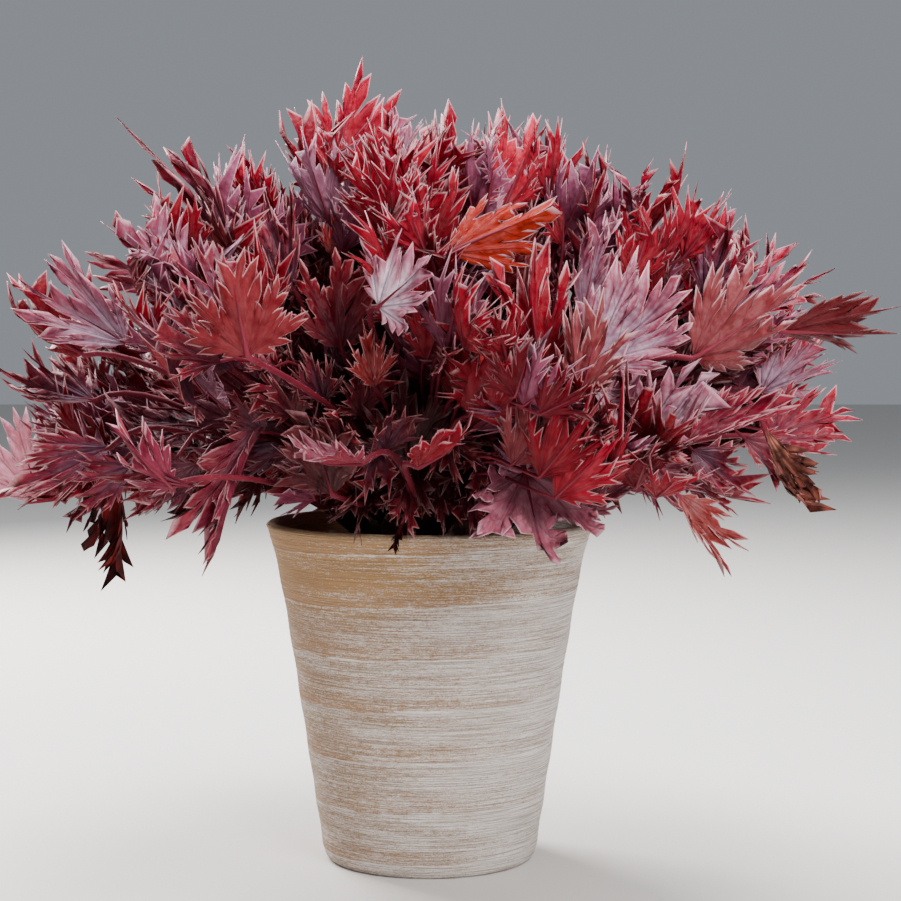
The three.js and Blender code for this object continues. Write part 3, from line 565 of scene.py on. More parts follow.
def mound_leaves(number, azimuth, elevation, reach, droop):
    """Leaves whose blades point outwards and up from the mound, more steeply the higher they stand. Those
    below its widest level droop by so many degrees for each degree that they lie lower."""
    out = heading(azimuth, elevation) * reach[:, None]
    height = np.where(elevation > 0, MOUND_RISE, MOUND_DROP)
    tip = np.stack(
        [out[:, 0] * MOUND_REACH, out[:, 1] * MOUND_REACH, MOUND_LEVEL + out[:, 2] * height], axis=-1
    )
    rising = mix(SLOPE_LEVEL, SLOPE_TOP, elevation / 90)
    steady = np.where(elevation > 0, rising, SLOPE_LEVEL + droop * elevation)
    along = heading(azimuth + TURN_SWAY * sway(number, TURN), steady + SLOPE_SWAY * sway(number, SLOPE))
    level = unit(np.stack([-along[:, 1], along[:, 0], np.zeros(len(number))], axis=-1))
    roll = np.radians(ROLL_SWAY * sway(number, ROLL))[:, None]
    length = LENGTH[0] + LENGTH[1] * sway(number, LENGTHEN)
    return {
        "number": number,
        "tip": tip,
        "base": tip - along * length[:, None],
        "face": np.cross(along, level) * np.cos(roll) + level * np.sin(roll),
        "spread": SPREAD[0] + SPREAD[1] * sway(number, WIDEN),
        "fold": FOLD[0] + FOLD[1] * sway(number, FOLDING),
        "arch": ARCH[0] + ARCH[1] * sway(number, ARCHING),
        "colour": drawn_colours(number),
    }


def drawn_colours(number):
    """The index of each leaf's colour, from the running total of the shares."""
    totals = np.cumsum(list(COLOUR_SHARES.values()))
    picks = np.searchsorted(totals, draw(number, TONE) * totals[-1])
    return np.array([COLOUR_NAMES.index(name) for name in COLOUR_SHARES])[picks]


def even_level(lowest, highest, climb):
    """The elevation at a share of the climb from the lowest to the highest leaves, even in their sines."""
    return np.degrees(np.arcsin(mix(np.sin(np.radians(lowest)), np.sin(np.radians(highest)), climb)))


def large_buds(rosette):
    """The buds of the large leaves, in the order in which they take their room."""
    bud = np.arange(BUDS, dtype=float)
    if rosette == 0:
        out = CENTRE_REACH * np.sqrt(fraction((bud + 0.5) * GOLDEN)) / MOUND_REACH
        turn = FRONT_TURN + 360 * bud * GOLDEN * GOLDEN
        reach = 1 - CENTRE_DEPTH * draw(bud, DEPTH)
        return mound_leaves(bud, turn, np.degrees(np.arccos(out)), reach, LARGE_DROOP)
    number = rosette * ROSETTE_STEP + bud
    climb = fraction(bud * GOLDEN * GOLDEN + draw(rosette, START))
    level = even_level(LOWEST_LEAF, HIGHEST_OUTER_LEAF, climb)
    turn = (180 / OUTER_ROSETTES - WEDGE_MARGIN) * (2 * fraction(bud * GOLDEN) - 1)
    reach = 1 - OUTER_DEPTH * draw(number, DEPTH) ** 2
    return mound_leaves(number, rosette_turn(rosette) + turn, level, reach, LARGE_DROOP)


def crowd_buds(rosette, crowd):
    """The buds of the smaller leaves, over the whole of the rosette's part of the mound."""
    bud = np.arange(crowd["buds"], dtype=float)
    number = crowd["first"] + rosette * CROWD_STEP + bud
    reach = mix(*crowd["reach"], np.sqrt(draw(number, DEPTH)))
    if rosette == 0:
        level = 90 - CENTRE_CROWD * np.sqrt(fraction((bud + 0.5) * GOLDEN))
        turn = 360 * bud * GOLDEN * GOLDEN
    else:
        climb = fraction(bud * GOLDEN * GOLDEN + draw(rosette, START))
        level = even_level(LOWEST_CROWD, HIGHEST_CROWD, climb)
        turn = rosette_turn(rosette) + CROWD_WEDGE * (2 * fraction(bud * GOLDEN) - 1)
        reach = np.where(level < LOWEST_LEAF, reach * LOW_REACH, reach)
    droop = np.where(draw(number, HANGING) < HANGING_SHARE, HANGING_DROOP, RISING_DROOP)
    leaves = mound_leaves(number, turn, level, reach, droop)
    along = unit(leaves["tip"] - leaves["base"])
    length = mix(*crowd["length"], draw(number, LENGTHEN))
    leaves["base"] = leaves["tip"] - along * length[:, None]
    lift = np.maximum(LOWEST_CROWD_BASE - leaves["base"][:, 2:], 0) * [0, 0, 1]
    leaves["base"] += lift
    leaves["tip"] += lift
    return leaves


def placed_leaves(rows, first):
    """The leaves placed one by one, numbered from the first."""
    tips, bases, faces, spreads, folds, arches, colours = zip(*rows)
    return {
        "number": first + np.arange(len(tips), dtype=float),
        "tip": np.array(tips, dtype=float),
        "base": np.array(bases, dtype=float),
        "face": np.array(faces, dtype=float),
        "spread": np.array(spreads, dtype=float),
        "fold": np.array(folds, dtype=float),
        "arch": np.array(arches, dtype=float),
        "colour": np.array([COLOUR_NAMES.index(name) for name in colours]),
    }


def picked(leaves, rows):
    return {key: values[rows] for key, values in leaves.items()}


def joined(*tables):
    return {key: np.concatenate([table[key] for table in tables]) for key in tables[0]}


def middles(leaves):
    return (leaves["tip"] + leaves["base"]) / 2


def with_room(buds, taken, room, rosette, shown=None):
    """The rows of the buds that lie in the rosette's cell and find room, one after another, and that leave
    the middles of the leaves to be shown clear."""
    rows = []
    taken = list(taken)
    cells = rosette_at(middles(buds))
    for row, middle in enumerate(middles(buds)):
        clear = np.linalg.norm(np.array(taken) - middle, axis=1).min() > room
        if shown is not None:
            clear = clear and np.linalg.norm(shown - middle, axis=1).min() > SHOWN_ROOM
        if clear and cells[row] == rosette:
            rows.append(row)
            taken.append(middle)
    return rows


def leaves_of(rosette):
    """The leaves of one rosette by size. The placed ones come first, and the others find room by them."""
    placed = placed_leaves(PLACED_LEAVES, FIRST_PLACED)
    small = placed_leaves(PLACED_YOUNG, FIRST_PLACED_YOUNG)
    buds = large_buds(rosette)
    grown = picked(buds, with_room(buds, middles(placed), ROOM, rosette))
    leaves = {
        "large": joined(picked(placed, rosette_at(middles(placed)) == rosette), grown),
        "young": picked(small, rosette_at(middles(small)) == rosette),
    }
    taken = np.concatenate([middles(placed), middles(grown), middles(small)])
    shown = np.concatenate([middles(placed), KEPT_CLEAR])
    shown = np.concatenate([shown, shown + IN_FRONT])
    for size, crowd in CROWDS.items():
        buds = crowd_buds(rosette, crowd)
        grown = picked(buds, with_room(buds, taken, crowd["room"], rosette, shown))
        leaves[size] = joined(leaves[size], grown) if size in leaves else grown
        taken = np.concatenate([taken, middles(grown)])
    return leaves


def blade_frames(leaves):
    """The frame of each blade: x along the midrib as it leaves the petiole, z out of the upper face."""
    chord = leaves["tip"] - leaves["base"]
    straight = np.linalg.norm(chord, axis=1)
    chord = unit(chord)
    half = np.radians(np.where(leaves["arch"] == 0, LEAST_ARCH, leaves["arch"]))[:, None] / 2
    face = leaves["face"]
    face = unit(face - chord * np.sum(face * chord, axis=1, keepdims=True))
    x = chord * np.cos(half) - face * np.sin(half)
    z = face * np.cos(half) + chord * np.sin(half)
    return {
        "x": x,
        "y": np.cross(z, x),
        "z": z,
        "length": straight * half[:, 0] / np.sin(half[:, 0]),
        "bend": 2 * half[:, 0],
    }


def crispness(leaves):
    """How much each leaf's margin is crisped, from its kind and its draw."""
    kinds = np.array([LEAF_COLOURS[name][3] for name in COLOUR_NAMES])
    return kinds[leaves["colour"]] * mix(*CRISP_SWAY, draw(leaves["number"], CRISP))


def blade_surface(leaves, frames, flat, lobe, cell, raised=0.0):
    """The middle surface of the blades, at flat points along and across the leaf in blade lengths.

    Past the undivided middle of the blade, and by the square of the way past it, the lobes swing sideways
    by a slow sine round the leaf, the margin is ruffled by quicker ones, and each lobe is cupped and curls
    by its draw and is creased up along its vein. The halves are folded up along the midrib, the web between
    two lobes is pleated up by the square of the way to the nearest vein, and the whole is bent round an arc
    of a circle.
    """
    def per_leaf(values):
        return values[:, None, None]

    along, across = flat[..., 0], flat[..., 1]
    number = per_leaf(leaves["number"])
    crisp = per_leaf(crispness(leaves))
    way = np.hypot(along, across)
    flat_turn = np.arctan2(across, along) / per_leaf(leaves["spread"])
    past = np.maximum(way - CRISP_FROM, 0) ** 2
    phase = PHASES * draw(number, PHASE)
    swing = crisp * SLOW_SWING * sway(number, SWIRL) * past * np.sin(flat_turn * SWING_WAVES + phase)
    along, across = along - swing * across, across + swing * along

    offs = np.abs(np.degrees(flat_turn)[None] - LOBE_TURNS[:, None, None, None])
    near = np.partition(offs, 1, axis=0)
    web = np.minimum(2 * near[0] / (near[0] + near[1]), 1)
    fold = np.radians(per_leaf(leaves["fold"]))
    waves = np.sin(flat_turn * QUICK_RUFFLES + 2 * phase)
    waves = waves + SLOW_RUFFLE * np.sin(flat_turn * SLOW_RUFFLES + phase)
    ruffle = mix(*RUFFLES, draw(number, RUFFLE)) * crisp * past * waves
    curl = (CUPPED + LOBE_CURL * sway(number, LOBE_CURLING + lobe[None, :, None])) * crisp * past
    off_vein = np.radians(near[0]) * per_leaf(leaves["spread"]) * np.maximum(way - CREASED_FROM, 0)
    crease = mix(*CREASE, draw(number, LOBE_CREASE + lobe[None, :, None]))
    crease = crease * np.minimum(crisp, MOST_CREASED) * off_vein
    rise = np.abs(across) * np.sin(fold) + PLEAT * web**2 * way + ruffle + curl + crease + raised
    side = across * np.cos(fold)
    bend = per_leaf(frames["bend"])
    angle = bend * along
    run = np.sin(angle) / bend - rise * np.sin(angle)
    lift = (1 - np.cos(angle)) / bend + rise * np.cos(angle)
    local = np.stack([run, side, lift], axis=-1) * per_leaf(frames["length"])[..., None]
    axes = np.stack([frames["x"], frames["y"], frames["z"]], axis=1)
    points = np.einsum("nckj,njd->nckd", local, axes) + leaves["base"][:, None, None, :]
    return keep_in_cell(clear_pot(points), *cell)


def outline_columns():
    """The leaf's outline from right to left, a row for each point: its turn and reach on the outline, those
    on the line inside, how much deeper it may be cut, its lobe, and 1 for the tip of a tooth or else 0."""
    columns = []
    last = len(LOBE_TURNS) - 1
    for lobe, turn in enumerate(LOBE_TURNS):
        before = (turn - LOBE_TURNS[lobe - 1]) / 2 / LOBE_HALF if lobe else 1
        after = (LOBE_TURNS[lobe + 1] - turn) / 2 / LOBE_HALF if lobe < last else 1
        right = LOBE_EDGE if lobe else BASE_EDGE
        left = LOBE_EDGE + [CUT] if lobe < last else BASE_EDGE
        points = [(-before, point, place) for place, point in enumerate(right)][::-1]
        points += [(after, point, place) for place, point in enumerate(left)][1:]
        for scale, (off, reach, inner_off, inner_reach, cut), place in points:
            columns.append((turn + scale * off, reach, turn + scale * inner_off, inner_reach, cut, lobe,
                            1 - place % 2))
    return np.array(columns).T


def polar(turn, reach):
    return np.stack([reach * np.cos(turn), reach * np.sin(turn)], axis=-1)


def leaf_outlines(leaves, rounded):
    """The outline of each leaf and the line inside that its teeth grow from, as flat points, with the curl
    of each outline point in radians.

    Ragged leaves are cut deeper. By their draws the lobes are longer or shorter and lean a little to one
    side, and so do the teeth, which curl up or down, most of each lobe's together. Rounded outlines have a
    point more in the middle of each edge, pushed out by a share of the edge's length, so that the teeth have
    the shape of flames.
    """
    turns, reaches, inner_turns, inner_reaches, cuts, lobes, tips = outline_columns()
    number = leaves["number"][:, None]
    lobes = lobes.astype(int)
    lobe_reach = LOBE_REACHES * (1 + LOBE_SWAY * sway(number, LOBE_LENGTH + np.arange(len(LOBE_TURNS))))
    lobe_reach[:, MIDDLE_LOBE[0]] = 1
    lobe_reach = lobe_reach[:, lobes]
    column = np.arange(len(turns))
    lean = LOBE_LEAN * sway(number, LOBE_LEANING + lobes)
    cut = cuts * draw(number, RAGGED)
    longer = 1 + TOOTH_SWAY * sway(number, TOOTH + column) * tips * (reaches < 1)
    spread = np.radians(leaves["spread"][:, None])
    outline = polar((turns + lean) * spread, (reaches * longer - cut) * lobe_reach)
    inside = polar((inner_turns + lean) * spread, (inner_reaches - cut) * lobe_reach)
    crisp = crispness(leaves)[:, None]
    swing = TOOTH_SWING * crisp * sway(number, SWING + column) * tips
    tooth = outline - inside
    along, across = tooth[..., 0], tooth[..., 1]
    turned = np.stack([along * np.cos(swing) - across * np.sin(swing),
                       along * np.sin(swing) + across * np.cos(swing)], axis=-1)
    outline = inside + turned
    lobe_curl = sway(number, LOBE_TEETH + lobes)
    curl = mix(sway(number, CURL + column), lobe_curl, CURL_TOGETHER)
    curl = np.clip(TOOTH_CURL * crisp * curl, -MOST_CURL, MOST_CURL) * tips
    if not rounded:
        return outline, inside, curl, lobes
    edge = np.diff(outline, axis=1)
    out = np.stack([edge[..., 1], -edge[..., 0]], axis=-1)
    bulged = (outline[:, 1:] + outline[:, :-1]) / 2 + BULGE * out
    inside = interleaved(inside, (inside[:, 1:] + inside[:, :-1]) / 2)
    curl = interleaved(curl, (curl[:, 1:] + curl[:, :-1]) / 2)
    return interleaved(outline, bulged), inside, curl, np.repeat(lobes, 2)[:-1]


def interleaved(ends, middle):
    both = np.empty((ends.shape[0], ends.shape[1] + middle.shape[1], *ends.shape[2:]))
    both[:, 0::2] = ends
    both[:, 1::2] = middle
    return both


def curled(outline, inside, curl):
    """Carries each outline point round an arc from the line inside: its flat place, and how far it is
    raised."""
    curl = np.where(np.abs(curl) < LEAST_CURL, LEAST_CURL, curl)
    tooth = outline - inside
    reach = np.linalg.norm(tooth, axis=-1)
    return inside + tooth * (np.sin(curl) / curl)[..., None], reach * (1 - np.cos(curl)) / curl


def depth_from_edge(outline, inside, length):
    """How far the points of the inside line lie in from the nearer of their two edges, in mm."""
    edge = np.diff(outline, axis=1)
    run = np.linalg.norm(edge, axis=-1)

    def off_edge(points):
        to = points - outline[:, :-1]
        return np.abs(edge[..., 0] * to[..., 1] - edge[..., 1] * to[..., 0]) / run

    from_first = np.pad(off_edge(inside[:, :-1]), ((0, 0), (0, 1)), mode="edge")
    from_last = np.pad(off_edge(inside[:, 1:]), ((0, 0), (1, 0)), mode="edge")
    return np.clip(np.minimum(from_first, from_last) * length, *NEAR_EDGE)


def halves(a, b, c, d):
    """The two triangles of each four-sided face."""
    return np.concatenate([np.stack([a, b, c], -1), np.stack([a, c, d], -1)]).reshape(-1, 3)


def wrapped(rings, sides):
    """The triangles of a form of closed rings of points, with a point at each end as its pole."""
    at = 1 + np.arange(rings * sides).reshape(rings, sides)
    after = np.roll(at, -1, axis=1)
    end = rings * sides + 1
    first = np.stack([at[0] * 0, after[0], at[0]], axis=-1)
    last = np.stack([at[-1] * 0 + end, at[-1], after[-1]], axis=-1)
    return np.concatenate([halves(at[:-1], after[:-1], after[1:], at[1:]), first, last])


def repeated(triangles, count, size):
    """The triangles of so many equal meshes one after another, each of so many points."""
    return (triangles[None] + np.arange(count)[:, None, None] * size).reshape(-1, 3)


def sheet_triangles(columns, rings):
    """The triangles of a closed thin leaf, a fan and rings on top, the same below, and the rim, and for each
    1 if it is part of the underside or else 0.

    Each face has its base point first, and then its points column by column from the base outwards.
    """
    face = 1 + columns * rings
    at = 1 + np.arange(columns * rings).reshape(columns, rings)
    zero = np.zeros(columns - 1, dtype=int)
    fan = np.stack([zero, at[:-1, 0], at[1:, 0]], axis=-1)
    a, b, c, d = at[:-1, :-1], at[:-1, 1:], at[1:, 1:], at[1:, :-1]
    upper = np.concatenate([fan, halves(a, b, c, d)])
    loop = np.concatenate([[0], at[0], at[1:-1, -1], at[-1, ::-1]])
    after = np.roll(loop, -1)
    rim = halves(loop + face, after + face, after, loop)
    triangles = np.concatenate([upper, upper[:, ::-1] + face, rim])
    return triangles, np.repeat([0, 1, 0], [len(upper), len(upper), len(rim)])


def srgb(code):
    """A hex sRGB colour turned to linear."""
    value = np.array([int(code[i:i + 2], 16) for i in (1, 3, 5)]) / 255
    return np.where(value <= 0.04045, value / 12.92, ((value + 0.055) / 1.055) ** 2.4)


def vein_map(leaves, frames, flat, lobe):
    """How far each point lies from its lobe's main vein and how far along it, in mm, for both faces."""
    way = np.linalg.norm(flat, axis=-1)
    turn = np.arctan2(flat[..., 1], flat[..., 0])
    off = turn - np.radians(LOBE_TURNS)[lobe][None, :, None] * leaves["spread"][:, None, None]
    length = frames["length"][:, None, None]
    vein = np.stack([way * np.abs(np.sin(off)) * length, way * np.cos(off) * length], axis=-1)
    vein = vein.reshape(len(flat), -1, 2)
    return np.concatenate([vein[:, :1] * 0, vein] * 2, axis=1)


def ways_out(flat, outline):
    """How far out each point of a face lies, from nothing at the base to one at the outline."""
    outer = np.linalg.norm(flat, axis=-1) / np.linalg.norm(outline, axis=-1)[..., None]
    outer = outer.reshape(len(flat), -1)
    return np.concatenate([outer[:, :1] * 0, outer], axis=1)


def depths_in(outline, inside, shares, length):
    """How far in from the edge each point of a face lies, in mm, down to nothing at the edge."""
    depth = depth_from_edge(outline, inside, length[:, None])[..., None]
    depth = np.concatenate([mix(DEEPEST, depth, shares), depth * 0], axis=-1).reshape(len(outline), -1)
    return np.concatenate([np.full((len(outline), 1), DEEPEST), depth], axis=1)


def blades(leaves, rosette, size):
    """Closed thin blades on a grid of columns round each leaf's outline and rings out from its base."""
    frames = blade_frames(leaves)
    cell = rosette, LEAF_SIZES[size]["gap"]
    outline, inside, curl, lobe = leaf_outlines(leaves, LEAF_SIZES[size]["rounded"])
    tips, raised = curled(outline, inside, curl)
    shares = np.array([*LEAF_SIZES[size]["rings"], 1.0])
    flat = np.concatenate([inside[:, :, None] * shares[:, None], tips[:, :, None]], axis=2)
    raised = np.concatenate([np.zeros((*raised.shape, len(shares))), raised[..., None]], axis=-1)

    def surface(shift):
        return blade_surface(leaves, frames, flat + shift, lobe, cell, raised)

    middle = surface([0, 0])
    normal = unit(np.cross(surface([FACING_STEP, 0]) - middle, surface([0, FACING_STEP]) - middle))
    count, columns, rings, _ = flat.shape
    base = leaves["base"][:, None, :]
    base_normal = frames["z"][:, None, :] * BLADE_HALF_THICKNESS
    inner = middle.reshape(count, -1, 3)
    lift = normal.reshape(count, -1, 3) * BLADE_HALF_THICKNESS
    points = np.concatenate([base + base_normal, inner + lift, base - base_normal, inner - lift], axis=1)

    depth = depths_in(outline, inside, shares, frames["length"])
    # The painted light and shade of the mound at each point of the blade.
    light = in_the_light(np.concatenate([base, inner], axis=1))
    tint = np.concatenate(leaf_tints(leaves, ways_out(flat, outline), depth / DEEPEST, light), axis=1)
    triangles, parts = sheet_triangles(columns, rings)
    withered = leaves["colour"] >= COLOUR_NAMES.index("shrivelled")
    edge = middle[:, :, -1]
    return {
        "points": points.reshape(-1, 3),
        "triangles": repeated(triangles, count, points.shape[1]),
        "parts": np.where(withered[:, None], 2, parts[None]).reshape(-1),
        "uv": vein_map(leaves, frames, flat, lobe).reshape(-1, 2),
        "tint": tint.reshape(-1, 4),
        "edge": edge,
        "outward": unit(edge - middle[:, :, -2]),
    }


def in_the_light(points):
    """How much painted light reaches each point in red, green and blue, as painted light and shade multiplied
    into its colour, from how near it lies to the mound's surface and how high."""
    z = points[..., 2]
    up = (z - MOUND_LEVEL) / np.where(z > MOUND_LEVEL, MOUND_RISE, MOUND_DROP)
    reach = np.hypot(radius_of(points) / MOUND_REACH, up)
    shade = mix(DEEP_SHADE, 1.0, np.clip((reach - SHADED) / (LIT - SHADED), 0, 1))[..., None]
    top = mix(1.0, TOP_LIGHT, np.clip((z - TOP_FROM) / TOP_BAND, 0, 1)[..., None])
    low = mix(1.0, UNDERNEATH_SHADE, np.clip((MOUND_LEVEL - z) / UNDERNEATH_BAND, 0, 1)[..., None])
    return (shade * low) ** SHADE_REDDENING * top


def light_tint(points):
    """The painted light and shade at each point as an opaque colour, at most white."""
    return np.insert(np.minimum(in_the_light(points), 1), 3, 1.0, axis=1)


def leaf_tints(leaves, outer, depth, light):
    """The linear colours of both faces of each leaf, with how far in from the edge each point is: lighter or
    darker by the leaf's draw, with the painted light and shade of its place in the mound multiplied in, and on
    top redder towards the margin."""
    def colours(which):
        kinds = np.array([srgb(LEAF_COLOURS[name][which]) for name in COLOUR_NAMES])
        return kinds[leaves["colour"]][:, None]

    # The leaf's own tone times the painted light and shade of its place in the mound.
    shade = mix(*LEAF_SHADES, draw(leaves["number"], SHADE))[:, None, None] * light
    redder = np.clip((outer - REDDER_FROM) / REDDER_BAND, 0, 1)[..., None] ** REDDER_POWER
    upper = mix(colours(0), colours(1), redder) * shade
    under = np.broadcast_to(colours(2) * shade, upper.shape)
    depth = depth[..., None]
    return [np.concatenate([np.minimum(face, BRIGHTEST), depth], axis=-1) for face in (upper, under)]


def petiole_routes(leaves, frames, rosette, size):
    """The middle line of each petiole, a cubic curve from the crown up and out to the blade's base, which
    doesn't sag below the level of that base once it has risen a little, and is bowed up by a parabola."""
    centre = crown_centre(rosette)
    base = leaves["base"]
    towards = unit((base - centre) * [1, 1, 0])
    climb = np.clip((base[:, 2] - CROWN_TOP) / ROOT_CLIMB, LEAF_SIZES[size]["rising"], 1)[:, None]
    start = centre + towards * CROWN_RADIUS * ROOT_OUT
    start[:, 2] = (CROWN_TOP - ROOT_DROP + ROOT_RISE * climb)[:, 0]
    leaving = unit(towards * (1 - ROOT_LEAN * climb) + climb * [0, 0, 1])
    distance = np.linalg.norm(base - start, axis=1)[:, None]
    first = start + leaving * distance * CROWN_HANDLE
    second = base - frames["x"] * distance * BLADE_HANDLE
    t = np.linspace(0, 1, LEAF_SIZES[size]["stretches"] + 1)[None, :, None]
    curve = (
        start[:, None] * (1 - t) ** 3 + 3 * first[:, None] * t * (1 - t) ** 2
        + 3 * second[:, None] * t**2 * (1 - t) + base[:, None] * t**3
    )
    sagging = np.minimum(base[:, 2], start[:, 2] + SAG)[:, None]
    risen = np.minimum(RISEN * t[..., 0], 1)
    curve[..., 2] = mix(curve[..., 2], np.maximum(curve[..., 2], sagging), risen)
    curve[..., 2] += BOW * distance * 4 * (t * (1 - t))[..., 0]
    bent = keep_in_cell(clear_pot(curve), rosette, LEAF_SIZES[size]["gap"])
    bent[:, 0] = curve[:, 0]
    return bent


def tubes(route, radius, side, sides):
    """Closed round tubes along routes: a circle of each station's radius, turned no more than its route."""
    count, stations, _ = route.shape
    along = unit(np.gradient(route, axis=1))
    across = np.empty_like(route)
    carried = side
    for i in range(stations - 1, -1, -1):
        carried = unit(carried - along[:, i] * np.sum(carried * along[:, i], axis=1, keepdims=True))
        across[:, i] = carried
    up = np.cross(along, across)
    turn = np.arange(sides) * 2 * np.pi / sides
    ring = across[:, :, None] * np.cos(turn)[:, None] + up[:, :, None] * np.sin(turn)[:, None]
    points = route[:, :, None] + ring * radius[..., None, None]
    points = np.concatenate([route[:, :1], points.reshape(count, -1, 3), route[:, -1:]], axis=1)
    triangles = repeated(wrapped(stations, sides), count, points.shape[1])
    return points.reshape(-1, 3), triangles, ring, points


def hairs(places, outward, kind, rng):
    """Closed three-sided spikes that stand out from their places: a small triangle across each hair's root,
    and its tip."""
    directions = unit(outward + HAIRS[kind]["stray"] * rng.standard_normal(outward.shape))
    lengths = rng.uniform(*HAIRS[kind]["length"], len(places))
    roots = places - HAIR_ROOT * directions
    helper = np.where(np.abs(directions[:, 2:]) < 0.9, [0.0, 0.0, 1.0], [1.0, 0.0, 0.0])
    side = unit(np.cross(directions, helper))
    other = np.cross(directions, side)
    turn = np.arange(3) * 2 * np.pi / 3
    ring = side[:, None] * np.cos(turn)[:, None] + other[:, None] * np.sin(turn)[:, None]
    feet = roots[:, None] + ring * HAIR_WIDTH / 2
    tips = roots + directions * lengths[:, None]
    points = np.concatenate([feet, tips[:, None]], axis=1)
    triangles = np.array([[0, 2, 1], [0, 1, 3], [1, 2, 3], [2, 0, 3]])
    return points.reshape(-1, 3), repeated(triangles, len(roots), points.shape[1])


def new_object(name, data):
    made = bpy.data.objects.new(name, data)
    bpy.context.scene.collection.objects.link(made)
    return made


def make_piece(name, points, triangles, materials, parts=None, uv=None, tint=None, smooth=True):
    """A mesh from whole arrays, in metres, that rides on the plant's one body."""
    mesh = bpy.data.meshes.new(name)
    mesh.vertices.add(len(points))
    mesh.vertices.foreach_set("co", (points * MM).astype(np.float32).ravel())
    mesh.loops.add(triangles.size)
    mesh.loops.foreach_set("vertex_index", triangles.astype(np.int32).ravel())
    mesh.polygons.add(len(triangles))
    mesh.polygons.foreach_set("loop_start", np.arange(0, triangles.size, 3, dtype=np.int32))
    mesh.polygons.foreach_set("use_smooth", np.full(len(triangles), smooth))
    for material in materials:
        mesh.materials.append(material)
    if parts is not None:
        mesh.polygons.foreach_set("material_index", parts.astype(np.int32))
    if uv is not None:
        layer = mesh.uv_layers.new(name=SURFACE_MAP)
        layer.data.foreach_set("uv", uv[triangles.ravel()].astype(np.float32).ravel())
    if tint is not None:
        colour = mesh.color_attributes.new(TINT, "FLOAT_COLOR", "POINT")
        colour.data.foreach_set("color", tint.astype(np.float32).ravel())
    mesh.update()
    mesh.validate()
    piece = new_object(name, mesh)
    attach(piece, ROOT_BODY)
    return piece


def add(tree, kind, inputs, **settings):
    """Adds a node with its settings, and gives its inputs their values or links, by name or in order. A node
    given for an input stands for its first output in use."""
    node = tree.nodes.new("ShaderNode" + kind)
    for key, value in settings.items():
        setattr(node, key, value)
    named = isinstance(inputs, dict)
    slots = node.inputs if named else [slot for slot in node.inputs if slot.enabled]
    for key, value in inputs.items() if named else enumerate(inputs):
        if isinstance(value, bpy.types.Node):
            value = next(output for output in value.outputs if output.enabled)
        if isinstance(value, bpy.types.NodeSocket):
            tree.links.new(value, slots[key])
        else:
            slots[key].default_value = value
    return node


def new_material(name):
    material = bpy.data.materials.new(name)
    material.use_nodes = True
    material.node_tree.nodes.clear()
    return material, material.node_tree


def rgba(code):
    return (*srgb(code), 1.0)


